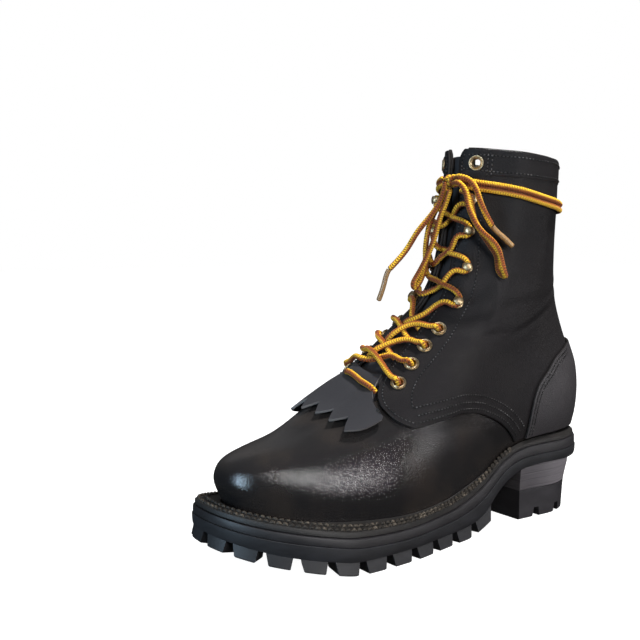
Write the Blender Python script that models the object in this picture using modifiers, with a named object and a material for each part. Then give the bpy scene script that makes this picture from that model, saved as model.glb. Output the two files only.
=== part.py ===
"""Wildland fire boot, left foot: lug sole, tapered heel, lasted upper, kiltie, hooks and laces.

+X points to the toe, +Y to the outer side of the foot and +Z up; the origin lies on the ground under the
middle of the sole. Tables and sizes are in millimetres and the objects are in metres.
"""

import math
from collections import namedtuple

import bmesh
import bpy
import numpy as np
from mathutils import Matrix, Vector

# Driving sizes
MM = 0.001
SOLE_LENGTH = 312.0
HALF_LENGTH = SOLE_LENGTH / 2
GAP = 0.3
WALL = 2.0
INSOLE_GAP = 0.9
OVERLAY = 1.8
WALL_LIFT = -1.1
QUARTER_GAP = 0.4
QUARTER_LIFT = WALL_LIFT + QUARTER_GAP + OVERLAY
BAND_LIFT = QUARTER_LIFT + QUARTER_GAP + 1.6
COUNTER_LIFT = BAND_LIFT + 0.45
FITTING_LIFT = QUARTER_LIFT + 0.85
TONGUE_LIFT = WALL_LIFT - WALL - 1.5
STEP = 1e-4

# Heel and tread sizes
BREAST_X = -77.0
BREAST_BOW = 1.5
LIFT_HEIGHT = 22.0
LUG_PITCH = 21.0
LUG_GAP_ROOT = 4.0
LUG_GAP_GROUND = 8.0
LUG_DEPTH = 19.0

# Lace and hardware sizes
LACE = 1.75
EYELET_HOLE = 2.7
EYELET_BARREL = 3.2
EYELET_CUT = 3.6
EYELET_RIM = 4.9
HOOK_WIDTH = 5.2

# Sections of the last from the feather edge (rise 0) to the collar (rise 1), with half widths to each side
Section = namedtuple(
    "Section",
    "rise front_x front_z back_x back_z out_heel out_waist out_ball out_toe in_heel in_waist in_ball in_toe",
)
LAST = [
    Section(0.00, 140, 41, -149, 60, 30, 33, 47, 42, 30, 28, 43, 36),
    Section(0.07, 146, 54, -153, 76, 33, 35, 49, 43, 33, 30, 45, 37),
    Section(0.14, 142, 66, -154, 92, 34, 36, 48, 41, 34, 31, 44, 36),
    Section(0.22, 128, 75, -152, 108, 34, 36, 45, 38, 34, 32, 42, 34),
    Section(0.31, 102, 82, -146, 123, 33, 36, 43, 36, 33, 33, 41, 33),
    Section(0.41, 68, 94, -139, 139, 32, 36, 40, 33, 32, 34, 38, 31),
    Section(0.50, 40, 110, -133, 154, 32, 37, 38, 29, 32, 35, 37, 28),
    Section(0.60, 10, 132, -128, 170, 34, 38, 37, 27, 34, 37, 36, 26),
    Section(0.70, -18, 159, -124, 188, 36, 39, 37, 28, 36, 38, 36, 26),
    Section(0.79, -31, 189, -123, 206, 37, 41, 38, 29, 37, 40, 37, 24.5),
    Section(0.89, -37, 226, -124, 230, 38, 43, 40, 31, 39, 42, 39, 25),
    Section(1.00, -40, 266, -126, 255, 37.5, 44, 42, 33, 39, 43, 41, 26),
]
WIDTH_STATIONS = (-0.1, 0.14, 0.38, 0.66, 0.86, 1.1)
RISE_BELOW = 180.0
RISE_ABOVE = 364.0

# Ridge of the instep, which stands on the inner side of the front line
Ridge = namedtuple("Ridge", "rise height")
INSTEP = [
    Ridge(0.00, 0.0),
    Ridge(0.27, 0.0),
    Ridge(0.34, 3.0),
    Ridge(0.41, 6.2),
    Ridge(0.60, 5.6),
    Ridge(0.67, 2.4),
    Ridge(0.73, 0.0),
    Ridge(1.00, 0.0),
]

# Roundness of the last's ends: how far the front and back curves reach, by rise
EndReach = namedtuple("EndReach", "rise front back")
ENDS = [
    EndReach(0.0, 0.26, 0.16),
    EndReach(0.2, 0.30, 0.19),
    EndReach(0.4, 0.34, 0.25),
    EndReach(0.6, 0.42, 0.34),
    EndReach(1.0, 0.50, 0.50),
]

# Sole along its length: edges, tread, lug root, joint with the midsole, midsole top, welt edge, feather
Sole = namedtuple("Sole", "x outer inner tread root joint seat lip feather")
SOLE = [
    Sole(-156, 34.0, -37.0, 0.0, 41.0, 48.0, 55.0, 58.5, 60.5),
    Sole(-115, 35.5, -38.5, 0.0, 41.0, 48.0, 55.0, 58.3, 59.3),
    Sole(-85, 34.5, -38.0, 0.0, 40.0, 47.2, 54.0, 57.0, 57.8),
    Sole(-75, 34.5, -37.5, 0.0, 38.0, 45.8, 52.5, 55.5, 56.3),
    Sole(-62, 35.0, -36.5, 12.0, 32.5, 41.2, 48.0, 51.3, 52.0),
    Sole(-50, 36.0, -36.0, 10.0, 23.5, 33.0, 41.0, 44.8, 46.3),
    Sole(-40, 37.0, -36.5, 5.0, 14.0, 25.5, 33.7, 38.0, 41.5),
    Sole(-20, 40.5, -39.0, 0.0, 8.5, 18.5, 26.0, 31.0, 35.0),
    Sole(0, 44.5, -43.0, 0.0, 8.0, 16.0, 22.5, 27.0, 31.2),
    Sole(40, 52.5, -52.0, 0.0, 8.0, 15.0, 21.0, 25.5, 29.2),
    Sole(80, 54.5, -57.5, 0.3, 8.5, 17.0, 23.0, 27.5, 30.8),
    Sole(100, 52.7, -57.5, 3.5, 11.5, 20.5, 26.0, 30.5, 32.8),
    Sole(120, 49.0, -55.0, 7.5, 15.0, 24.0, 29.5, 34.0, 35.8),
    Sole(135, 46.0, -51.5, 10.8, 18.5, 27.0, 32.5, 37.0, 38.6),
    Sole(156, 44.0, -48.0, 17.0, 25.0, 32.5, 38.0, 42.0, 43.0),
]
Middle = namedtuple("Middle", "x sole last")
MIDDLE = [
    Middle(-156, -3, -3),
    Middle(-100, -3, -3),
    Middle(0, 0, 0),
    Middle(90, -2, -3),
    Middle(156, -12, -11),
]

# Heel, from the ground up: how far the back and the sides are drawn in
Taper = namedtuple("Taper", "z back side breast")
HEEL = [
    Taper(0.0, 15.5, 6.0, -80.0),
    Taper(22.0, 13.0, 4.5, -78.5),
    Taper(32.0, 9.8, 3.0, -77.5),
    Taper(41.0, 7.0, 2.0, -77.0),
]

# Front edge of the quarters, from their point over the vamp to the collar, and the seam behind that point
Edge = namedtuple("Edge", "rise turn")
FACING = [
    Edge(0.270, 0.308),
    Edge(0.307, 0.330),
    Edge(0.358, 0.359),
    Edge(0.402, 0.387),
    Edge(0.440, 0.411),
    Edge(0.475, 0.430),
    Edge(0.510, 0.445),
    Edge(0.550, 0.458),
    Edge(0.600, 0.466),
    Edge(0.700, 0.466),
    Edge(0.800, 0.470),
    Edge(0.900, 0.476),
    Edge(1.000, 0.484),
]
VAMP_SEAM = [
    Edge(0.015, 0.173),
    Edge(0.066, 0.183),
    Edge(0.116, 0.195),
    Edge(0.175, 0.212),
    Edge(0.230, 0.234),
    Edge(0.262, 0.256),
]
COUNTER_EDGE = [
    Edge(0.015, 0.161),
    Edge(0.089, 0.160),
    Edge(0.148, 0.158),
    Edge(0.206, 0.152),
    Edge(0.250, 0.140),
    Edge(0.307, 0.121),
    Edge(0.330, 0.085),
]
THROAT_RISE = 0.43

# Places of the eyelets and hooks on the outer side
Spot = namedtuple("Spot", "turn rise")
EYELETS = [
    Spot(0.391, 0.469),
    Spot(0.399, 0.529),
    Spot(0.404, 0.582),
    Spot(0.402, 0.626),
    Spot(0.423, 0.970),
]
HOOKS = [Spot(0.396, 0.687), Spot(0.408, 0.767), Spot(0.422, 0.840), Spot(0.427, 0.900)]

# Free laces from the knot: a place on the boot's form and a lift off it, or a place in the air
Hang = namedtuple("Hang", "turn rise lift")
Air = namedtuple("Air", "x y z")
KNOT = Hang(0.479, 0.934, 7.2)
RIGHT_END = [
    Air(-31.2, 9.7, 244.4),
    Hang(0.449, 0.940, 13.0),
    Hang(0.4285, 0.9345, 13.0),
    Hang(0.413, 0.919, 13.5),
    Hang(0.401, 0.894, 13.5),
    Hang(0.386, 0.8705, 12.6),
    Hang(0.362, 0.845, 10.2),
]
RIGHT_AGLET = [Hang(0.359, 0.8425, 9.8), Hang(0.3325, 0.8207, 8.8), Hang(0.312, 0.7985, 8.2)]
RIGHT_LOOP = [
    Air(-28.9, 10.1, 240.6),
    Hang(0.442, 0.925, 16.5),
    Hang(0.431, 0.912, 17.0),
    Hang(0.424, 0.889, 17.0),
    Hang(0.414, 0.866, 17.0),
    Hang(0.402, 0.847, 16.5),
    Hang(0.380, 0.828, 16.0),
    Hang(0.354, 0.811, 15.5),
    Hang(0.3385, 0.792, 14.5),
    Hang(0.328, 0.765, 12.5),
    Hang(0.318, 0.738, 10.5),
    Hang(0.314, 0.731, 7.0),
    Hang(0.322, 0.740, 4.5),
    Hang(0.337, 0.778, 7.2),
    Hang(0.355, 0.802, 9.5),
    Hang(0.373, 0.819, 10.5),
    Hang(0.393, 0.838, 11.0),
    Hang(0.408, 0.858, 11.5),
    Hang(0.4185, 0.883, 11.5),
    Hang(0.428, 0.905, 11.5),
    Air(-31.9, 13.8, 235.9),
]
LEFT_END = [
    Air(-28.7, 2.4, 242.1),
    Air(-25.7, 2.2, 231.8),
    Air(-19.4, -2.7, 218.4),
    Air(-11.9, -8.0, 206.8),
    Air(-7.7, -12.1, 197.0),
    Air(-1.9, -15.7, 188.3),
    Air(3.2, -19.5, 181.4),
]
LEFT_AGLET = [Air(3.6, -19.8, 180.5), Air(6.1, -21.7, 170.4), Air(8.9, -24.1, 159.3)]
LEFT_LOOP = [
    Air(-31.6, 4.6, 237.7),
    Air(-29.6, -2.1, 230.1),
    Air(-26.5, -5.1, 222.7),
    Air(-21.9, -6.2, 212.4),
    Air(-20.5, -7.3, 203.3),
    Air(-20.6, -8.6, 194.0),
    Air(-20.9, -9.0, 185.8),
    Air(-19.4, -9.4, 178.9),
    Air(-15.4, -9.6, 171.4),
    Air(-12.0, -9.6, 168.8),
    Air(-9.6, -8.5, 171.0),
    Air(-11.4, -8.0, 175.5),
    Air(-15.2, -6.4, 182.5),
    Air(-18.6, -4.2, 191.0),
    Air(-20.6, -1.6, 199.0),
    Air(-22.4, 0.4, 208.0),
    Air(-24.0, 2.8, 218.2),
    Air(-26.0, 6.4, 228.5),
    Air(-27.5, 8.3, 236.5),
]

# Finishes: colour, roughness and metalness
FINISH = {
    "black leather": ((0.022, 0.020, 0.021), 0.42, 0.0),
    "edge leather": ((0.030, 0.027, 0.026), 0.6, 0.0),
    "black rubber": ((0.020, 0.021, 0.024), 0.75, 0.0),
    "tan leather": ((0.30, 0.19, 0.11), 0.8, 0.0),
    "aged brass": ((0.42, 0.29, 0.13), 0.35, 1.0),
    "lace cord": ((0.62, 0.36, 0.05), 0.8, 0.0),
    "aglet": ((0.55, 0.33, 0.16), 0.4, 0.0),
}


def column(rows, name):
    """One named column of a table as an array."""
    return np.array([getattr(row, name) for row in rows], float)


def eased(keys, values, at):
    """Smooth curve through the values with no overshoot between them."""
    keys, values = np.asarray(keys, float), np.asarray(values, float)
    at = np.clip(np.asarray(at, float), keys[0], keys[-1])
    width, rate = np.diff(keys), np.diff(values) / np.diff(keys)
    slope = np.zeros(len(keys))
    slope[0], slope[-1] = rate[0], rate[-1]
    near, far = 2 * width[1:] + width[:-1], width[1:] + 2 * width[:-1]
    same = rate[:-1] * rate[1:] > 0
    before, after = np.where(same, rate[:-1], 1.0), np.where(same, rate[1:], 1.0)
    slope[1:-1] = np.where(same, (near + far) / (near / before + far / after), 0.0)
    i = np.clip(np.searchsorted(keys, at, side="right") - 1, 0, len(width) - 1)
    f = (at - keys[i]) / width[i]
    return (
        values[i] * (1 + 2 * f) * (1 - f) ** 2
        + slope[i] * width[i] * f * (1 - f) ** 2
        + values[i + 1] * f**2 * (3 - 2 * f)
        + slope[i + 1] * width[i] * f**2 * (f - 1)
    )


def read(rows, key, name, at):
    """A table's named column, eased along its key column."""
    return eased(column(rows, key), column(rows, name), at)


def sole_z(name, x):
    """Height of one layer of the sole at a length x."""
    return read(SOLE, "x", name, x)


def rounded(distance, reach, power):
    """Share of the full width at a distance from a rounded end."""
    share = np.clip(1 - distance / reach, 0, 1)
    return (1 - share**power) ** (1 / power)


def widths(along, stations):
    """Cubic curve through the four half widths of a section, level at both ends."""
    values = [stations[0], *stations, stations[-1]]
    result = np.zeros_like(along)
    for i in range(5):
        low, high = WIDTH_STATIONS[i], WIDTH_STATIONS[i + 1]
        f = np.clip((along - low) / (high - low), 0, 1)
        before, after = max(i - 1, 0), min(i + 2, 5)
        start = (values[i + 1] - values[before]) / (high - WIDTH_STATIONS[before]) if i else 0.0
        stop = (values[after] - values[i]) / (WIDTH_STATIONS[after] - low) if i < 4 else 0.0
        value = (
            values[i] * (1 + 2 * f) * (1 - f) ** 2
            + start * (high - low) * f * (1 - f) ** 2
            + values[i + 1] * f**2 * (3 - 2 * f)
            + stop * (high - low) * f**2 * (f - 1)
        )
        result = np.where((along >= low) & (along < high), value, result)
    return result


def form(turn, rise):
    """Point of the boot's outer form: turn runs from the back (0) past the outer side to the front (0.5)."""
    turn, rise = np.broadcast_arrays(np.asarray(turn, float) % 1.0, np.asarray(rise, float))
    level = np.clip(rise, 0, 1)
    col = {name: read(LAST, "rise", name, level) for name in Section._fields[1:]}
    outer = turn <= 0.5
    along = (1 - np.cos(2 * math.pi * np.where(outer, turn, 1 - turn))) / 2
    places = ("heel", "waist", "ball", "toe")
    width = np.where(
        outer,
        widths(along, [col["out_" + place] for place in places]),
        widths(along, [col["in_" + place] for place in places]),
    )
    width = width * rounded(along, read(ENDS, "rise", "back", level), 2.3)
    width = width * rounded(1 - along, read(ENDS, "rise", "front", level), 2.3)
    x = col["back_x"] + along * (col["front_x"] - col["back_x"])
    z = col["back_z"] + along * (col["front_z"] - col["back_z"])
    bottom, top = LAST[0].back_z, LAST[0].front_z
    level_foot = bottom + (top - bottom) * (x - LAST[0].back_x) / (LAST[0].front_x - LAST[0].back_x)
    fade = np.clip(1 - level / 0.5, 0, 1)
    z = z + fade**2 * (3 - 2 * fade) * (sole_z("feather", x) - level_foot)
    z = z + RISE_BELOW * np.minimum(rise, 0) + RISE_ABOVE * np.maximum(rise - 1, 0)
    y = read(MIDDLE, "x", "last", x) + np.where(outer, width, -width)
    return np.stack([x, y, z], -1)


def soft_step(low, high, at):
    """Rises smoothly from 0 to 1 between two values."""
    share = np.clip((at - low) / (high - low), 0, 1)
    return share**2 * (3 - 2 * share)


def instep(turn, rise):
    """Height of the instep's ridge, which rises past the front line and fades on the inner side."""
    turn = turn % 1.0
    return read(INSTEP, "rise", "height", rise) * soft_step(0.465, 0.55, turn) * (1 - soft_step(0.60, 0.75, turn))


def surface(turn, rise, lift=0.0):
    """Point of the form, with the instep's ridge, moved outwards along its normal."""
    turn, rise, lift = np.broadcast_arrays(*(np.asarray(v, float) for v in (turn, rise, lift)))
    lift = lift + instep(turn, rise)
    across = form(turn + STEP, rise) - form(turn - STEP, rise)
    up = form(turn, rise + STEP) - form(turn, rise - STEP)
    normal = np.cross(up, across)
    return form(turn, rise) + lift[..., None] * normal / np.linalg.norm(normal, axis=-1, keepdims=True)


def plan(turn):
    """Point of the tread's outline on the ground."""
    turn = np.asarray(turn, float) % 1.0
    outer = turn <= 0.5
    x = -HALF_LENGTH * np.cos(2 * math.pi * turn)
    middle = read(MIDDLE, "x", "sole", x)
    back = rounded(x + HALF_LENGTH, 46.0, 2.2)
    front = np.where(outer, rounded(HALF_LENGTH - x, 80.0, 2.2), rounded(HALF_LENGTH - x, 60.0, 2.9))
    edge = np.where(outer, sole_z("outer", x), sole_z("inner", x))
    return np.stack([x, middle + (edge - middle) * back * front], -1)


def sole_edge(turn, inset=0.0):
    """Point of the outline drawn in by an inset."""
    along = plan(np.asarray(turn) + STEP) - plan(np.asarray(turn) - STEP)
    inward = np.stack([along[..., 1], -along[..., 0]], -1)
    return plan(turn) + inset * inward / np.linalg.norm(inward, axis=-1, keepdims=True)


# Scene, materials and mesh helpers
for old in list(bpy.data.objects):
    bpy.data.objects.remove(old, do_unlink=True)
parts = bpy.data.collections.new("wildland_fire_boot")
cutters = bpy.data.collections.new("cutters")
cutters.hide_render = True
for group in (parts, cutters):
    bpy.context.scene.collection.children.link(group)


def finish(obj, kind):
    """Gives an object a Principled material of its own."""
    colour, roughness, metal = FINISH[kind]
    made = bpy.data.materials.new(f"{obj.name} {kind}")
    made.use_nodes = True
    shader = made.node_tree.nodes["Principled BSDF"]
    shader.inputs["Base Color"].default_value = (*colour, 1.0)
    shader.inputs["Roughness"].default_value = roughness
    shader.inputs["Metallic"].default_value = metal
    made.diffuse_color = (*colour, 1.0)
    obj.data.materials.append(made)
    return obj


def place(obj, group, kind=None):
    """Links an object, as a part with a finish or as a hidden helper."""
    group.objects.link(obj)
    if group is cutters:
        obj.hide_render = True
        obj.display_type = "WIRE"
    if kind:
        finish(obj, kind)
    return obj


def solid(name, points, faces, kind, group=parts):
    """Closed mesh from points in millimetres."""
    mesh = bpy.data.meshes.new(name)
    mesh.from_pydata((np.asarray(points, float) * MM).tolist(), [], [list(map(int, f)) for f in faces])
    work = bmesh.new()
    work.from_mesh(mesh)
    bmesh.ops.recalc_face_normals(work, faces=work.faces)
    work.to_mesh(mesh)
    work.free()
    return place(bpy.data.objects.new(name, mesh), group, kind)


def ring_faces(rings, count, shift=0):
    """Faces of a stack of rings whose points run from the back tip round to the front tip and back."""
    faces, half, top = [], count // 2, (rings - 1) * count
    for r in range(rings - 1):
        for k in range(count):
            a, b = r * count + k, r * count + (k + 1) % count
            faces.append((a, b, b + count, a + count))
    for base in (0, top):
        for k in range(half):
            ends = [k, k + 1, count - k - 1, (count - k) % count]
            faces.append([base + e for e in dict.fromkeys(ends)])
    return [[shift + v for v in face] for face in faces]


def slab(name, layers, kind, count=56):
    """Sole layer from rings of (inset, height name, height change), from the bottom up."""
    turns = np.arange(count) / count
    rings = []
    for inset, level, change in layers:
        xy = sole_edge(turns, inset)
        rings.append(np.column_stack([xy, sole_z(level, xy[:, 0]) + change]))
    return solid(name, np.concatenate(rings), ring_faces(len(rings), count), kind)


def sheet(name, grid, thickness, kind, ring=False, keep=None):
    """Leather sheet: a grid of outer points in rows, thickened inwards with Solidify."""
    rows, cols = grid.shape[:2]
    used, faces = np.zeros(rows * cols, bool), []
    for r in range(rows - 1):
        for c in range(cols if ring else cols - 1):
            if keep is not None and not keep[r, c]:
                continue
            d = (c + 1) % cols
            face = (r * cols + c, (r + 1) * cols + c, (r + 1) * cols + d, r * cols + d)
            used[list(face)] = True
            faces.append(face)
    index = np.cumsum(used) - 1
    mesh = bpy.data.meshes.new(name)
    points = (grid.reshape(-1, 3)[used] * MM).tolist()
    mesh.from_pydata(points, [], [[int(index[v]) for v in face] for face in faces])
    obj = place(bpy.data.objects.new(name, mesh), parts, kind)
    thicken = obj.modifiers.new("wall", "SOLIDIFY")
    thicken.thickness = thickness * MM
    thicken.offset = -1.0
    thicken.use_even_offset = True
    return obj


def boolean(obj, other, operation):
    """Cuts with, or joins, another mesh."""
    step = obj.modifiers.new(operation.lower(), "BOOLEAN")
    step.operation = operation
    step.solver = "EXACT"
    step.object = other


def flow(points, count):
    """Points evenly spread on a smooth curve through a few given ones."""
    points = np.asarray(points, float)
    reach = np.concatenate([[0], np.cumsum(np.linalg.norm(np.diff(points, axis=0), axis=1))])
    fine = np.linspace(0, reach[-1], count)
    return np.stack([eased(reach, points[:, k], fine) for k in range(3)], -1)


def tube(name, points, radius, kind, group=parts):
    """Round cord along a path in millimetres, with closed ends."""
    curve = bpy.data.curves.new(name, "CURVE")
    curve.dimensions = "3D"
    curve.bevel_depth = radius * MM
    curve.bevel_resolution = 2
    curve.use_fill_caps = True
    spline = curve.splines.new("POLY")
    spline.points.add(len(points) - 1)
    for point, spot in zip(spline.points, points):
        point.co = (*(float(v) * MM for v in spot), 1.0)
    return place(bpy.data.objects.new(name, curve), group, kind)


def as_mesh(obj):
    """Mesh copy of a cord, for a Boolean."""
    graph = bpy.context.evaluated_depsgraph_get()
    mesh = bpy.data.meshes.new_from_object(obj.evaluated_get(graph))
    mesh.materials.clear()
    return mesh


def joined(name, paths, radius, kind):
    """Cords that cross, joined into one solid."""
    made = None
    for number, path in enumerate(paths):
        guide = tube(f"{name}_guide_{number}", path, radius, None, cutters)
        bpy.context.view_layer.update()
        mesh = as_mesh(guide)
        bpy.data.objects.remove(guide, do_unlink=True)
        if made is None:
            made = place(bpy.data.objects.new(name, mesh), parts, kind)
        else:
            helper = place(bpy.data.objects.new(f"{name}_strand_{number}", mesh), cutters)
            boolean(made, helper, "UNION")
    return made


def seat_on(turn, rise, lift):
    """Matrix of a fitting on the form: X towards the back on the outer side, Y up the boot, Z outwards."""
    across = Vector(surface(turn + 0.003, rise, lift) - surface(turn - 0.003, rise, lift))
    up = Vector(surface(turn, rise + 0.006, lift) - surface(turn, rise - 0.006, lift)).normalized()
    out = up.cross(across).normalized()
    matrix = Matrix((up.cross(out), up, out)).transposed().to_4x4()
    matrix.translation = Vector(surface(turn, rise, lift)) * MM
    return matrix


# Sole: plate with shank, lugs, midsole, welt and insole
outsole = slab("outsole", [(1.4, "root", 0.0), (0.6, "joint", -1.4), (1.0, "joint", 0.0)], "black rubber")
slab("midsole", [(2.2, "joint", GAP), (2.4, "seat", -1.0), (3.0, "seat", 0.0)], "edge leather")


def lug(start, stop, points, faces):
    """Adds one tread lug between two lengths along the outline."""
    rings = []
    for gap, outer, level, change in ((LUG_GAP_GROUND, 0.0, "tread", 0.0), (LUG_GAP_ROOT, 2.0, "root", 2.0)):
        marks = np.interp(np.linspace(start + gap / 2, stop - gap / 2, 3), edge_reach, edge_turns)
        xy = np.concatenate([sole_edge(marks, outer), sole_edge(marks[::-1], LUG_DEPTH)])
        rings.append(np.column_stack([xy, sole_z(level, xy[:, 0]) + change]))
    base = sum(len(block) for block in points)
    points.append(np.concatenate(rings))
    add_prism(base, 6, faces)


def add_prism(base, count, faces):
    """Faces of a prism between two rings of points."""
    faces.append([base + k for k in range(count)])
    faces.append([base + count + k for k in range(count)])
    for k in range(count):
        n = (k + 1) % count
        faces.append([base + k, base + n, base + count + n, base + count + k])


edge_turns = np.linspace(0.200, 0.800, 601)
steps = np.linalg.norm(np.diff(plan(edge_turns), axis=0), axis=1)
edge_reach = np.concatenate([[0], np.cumsum(steps)])
lug_count = round(edge_reach[-1] / LUG_PITCH)
lug_points, lug_faces = [], []
for number in range(lug_count):
    lug(number * edge_reach[-1] / lug_count, (number + 1) * edge_reach[-1] / lug_count, lug_points, lug_faces)
for number in range(6):
    spot = -18.0 + 24.0 * number
    diamond = np.array([(-8.5, 0), (0, 12.0), (8.5, 0), (0, -12.0)]) + (spot, -1.0 - 0.03 * max(spot, 0))
    levels = [sole_z("tread", diamond[:, 0]), sole_z("root", diamond[:, 0]) + 2.0]
    base = sum(len(block) for block in lug_points)
    lug_points.append(np.concatenate([np.column_stack([diamond, z]) for z in levels]))
    add_prism(base, 4, lug_faces)
lugs = solid("lugs", np.concatenate(lug_points), lug_faces, None, cutters)
boolean(outsole, lugs, "UNION")

WELT_TURNS = np.arange(56) / 56
welt_out, welt_in = sole_edge(WELT_TURNS, 2.6), surface(WELT_TURNS, 0.0, -0.3)[:, :2]
welt_rings = [
    np.column_stack([welt_out, sole_z("seat", welt_out[:, 0]) + 2 * GAP]),
    np.column_stack([welt_out, sole_z("lip", welt_out[:, 0])]),
    np.column_stack([welt_in, sole_z("feather", welt_in[:, 0]) - 0.4]),
    np.column_stack([welt_in, sole_z("seat", welt_in[:, 0]) + 2 * GAP]),
]
welt_count = len(WELT_TURNS)
welt_faces = [
    (r * welt_count + k, r * welt_count + (k + 1) % welt_count,
     (r + 1) % 4 * welt_count + (k + 1) % welt_count, (r + 1) % 4 * welt_count + k)
    for r in range(4)
    for k in range(welt_count)
]
solid("welt", np.concatenate(welt_rings), welt_faces, "edge leather")

insole_edge = surface(WELT_TURNS, 0.0, WALL_LIFT - WALL - 2 * INSOLE_GAP)[:, :2]
insole_rings = [
    np.column_stack([insole_edge, sole_z("seat", insole_edge[:, 0]) + up]) for up in (INSOLE_GAP, INSOLE_GAP + 3.5)
]
solid("insole", np.concatenate(insole_rings), ring_faces(2, welt_count), "tan leather")


# Heel: a tapered stack over a rubber lift with grooves in its tread
def heel_ring(z, count=14):
    """Ring of the heel at one height, from the back round to the breast."""
    breast = read(HEEL, "z", "breast", z)
    last_turn = math.acos(-BREAST_X / HALF_LENGTH) / (2 * math.pi)
    turns = np.linspace(0, last_turn, count)
    sides = [plan(turns), plan(1 - turns)[1:][::-1]]
    middle = np.array([[BREAST_X + BREAST_BOW, np.mean([sides[0][-1, 1], sides[1][0, 1]])]])
    xy = np.concatenate([sides[0], middle, sides[1]])
    shrink_x = 1 - read(HEEL, "z", "back", z) / (HALF_LENGTH + BREAST_X)
    shrink_y = 1 - read(HEEL, "z", "side", z) / 36.0
    x = breast + (xy[:, 0] - BREAST_X) * shrink_x
    return np.column_stack([x, -2.0 + (xy[:, 1] + 2.0) * shrink_y, np.full(len(x), z)])


def heel_block(name, levels, kind):
    """Part of the heel through rings at several heights; the last ring lies under the outsole."""
    rings = [heel_ring(z) for z in levels]
    return solid(name, np.concatenate(rings), ring_faces(len(rings), len(rings[0])), kind)


stack = heel_block("heel_stack", [LIFT_HEIGHT + 0.1, 28.0, 35.0, 46.0], "edge leather")
trim_edge = sole_edge(np.arange(40) / 40, -6.0)
trim_rings = [
    np.column_stack([trim_edge, sole_z("root", trim_edge[:, 0]) - GAP]),
    np.column_stack([trim_edge, sole_z("root", trim_edge[:, 0]) + 30.0]),
]
trim = solid("heel_trim", np.concatenate(trim_rings), ring_faces(2, 40), None, cutters)
boolean(stack, trim, "DIFFERENCE")

lift = heel_block("heel_lift", [0.0, 8.0, 15.0, LIFT_HEIGHT], "black rubber")
GROOVES = [(-97.0, 40.0), (-97.0, -40.0), (-119.0, 40.0), (-119.0, -40.0)]
groove_points, groove_faces = [], []
for number, (x, y) in enumerate(GROOVES):
    box = np.array([(-4.0, -24.0), (4.0, -24.0), (4.0, 24.0), (-4.0, 24.0)])
    lower, upper_box = box + (x, y), box * (0.55, 1.0) + (x, y)
    groove_points.append(np.column_stack([lower, np.full(4, -2.0)]))
    groove_points.append(np.column_stack([upper_box, np.full(4, 7.0)]))
    add_prism(8 * number, 4, groove_faces)
grooves = solid("heel_grooves", np.concatenate(groove_points), groove_faces, None, cutters)
boolean(lift, grooves, "DIFFERENCE")

# Upper: one wall from the midsole to the collar, open down the throat
RISES = np.array(
    [0.0, 0.06, 0.13, 0.20, 0.27, 0.33, 0.38, 0.43, 0.49, 0.545, 0.60, 0.65, 0.69, 0.74, 0.81, 0.90, 1.0]
)
BACK_COLUMNS = 7
FRONT_COLUMNS = 4
SIDE_COLUMNS = BACK_COLUMNS + FRONT_COLUMNS
THROAT_COLUMNS = 10


def throat_turn(rise):
    """Turn of the throat's outer edge at a rise."""
    return read(FACING, "rise", "turn", np.maximum(rise, THROAT_RISE))


def side_turns(start, bend, front):
    """Columns of a side from the back to the vamp seam and on to the front edge, a row for each rise."""
    back = start + (bend - start)[:, None] * np.linspace(0, 1, BACK_COLUMNS + 1)
    ahead = bend[:, None] + (front - bend)[:, None] * np.linspace(0, 1, FRONT_COLUMNS + 1)[1:]
    return np.concatenate([back, ahead], axis=1)


across = np.linspace(0, 1, THROAT_COLUMNS + 1)[1:-1]
edge = read(FACING, "rise", "turn", RISES) - 0.002
side = side_turns(0.0, read(VAMP_SEAM, "rise", "turn", RISES), edge)
edge = edge[:, None]
upper_turns = np.concatenate([side, edge + (1 - 2 * edge) * across, 1 - side[:, :0:-1]], axis=1)
upper_grid = surface(upper_turns, RISES[:, None], WALL_LIFT)
foot = surface(upper_turns[:1], np.zeros((1, 1)), WALL_LIFT)
foot[..., 2] = sole_z("seat", foot[..., 0]) + INSOLE_GAP + 0.9
upper_grid = np.concatenate([foot, upper_grid])
upper_keep = np.ones((len(upper_grid) - 1, upper_grid.shape[1]), bool)
first_open = 1 + int(np.searchsorted(RISES, THROAT_RISE))
upper_keep[first_open:, SIDE_COLUMNS:SIDE_COLUMNS + THROAT_COLUMNS] = False
upper = sheet("upper", upper_grid, WALL, "black leather", ring=True, keep=upper_keep)

# Overlays on the upper
QUARTER_RISES = np.concatenate([[0.015], RISES[1:4], [0.262], RISES[4:-1], [0.997]])


def on_side(turns, outer):
    """Turns of a piece on the outer side, or mirrored to the inner side in the same winding."""
    return turns if outer else 1 - turns[:, ::-1]


def quarter(name, outer):
    """Side of the shaft with its facing, from the back seam to the throat."""
    bend = read(VAMP_SEAM, "rise", "turn", QUARTER_RISES)
    over_vamp = QUARTER_RISES >= FACING[0].rise
    front = np.where(over_vamp, read(FACING, "rise", "turn", QUARTER_RISES), bend)
    turns = side_turns(0.0016, bend, front)
    keep = np.ones((len(turns) - 1, SIDE_COLUMNS), bool)
    keep[~over_vamp[:-1], BACK_COLUMNS:] = False
    grid = surface(on_side(turns, outer), QUARTER_RISES[:, None], QUARTER_LIFT)
    keep = keep if outer else keep[:, ::-1]
    return sheet(name, grid, OVERLAY, "black leather", keep=keep)


quarters = [quarter("quarter_outer", True), quarter("quarter_inner", False)]

counter_rises = np.array([0.015, 0.06, 0.13, 0.20, 0.27, 0.31, 0.33])
counter_turns = read(COUNTER_EDGE, "rise", "turn", counter_rises)[:, None] * np.linspace(-1, 1, 17)
sheet("heel_counter", surface(counter_turns, counter_rises[:, None], COUNTER_LIFT), 1.5, "black leather")

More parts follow.
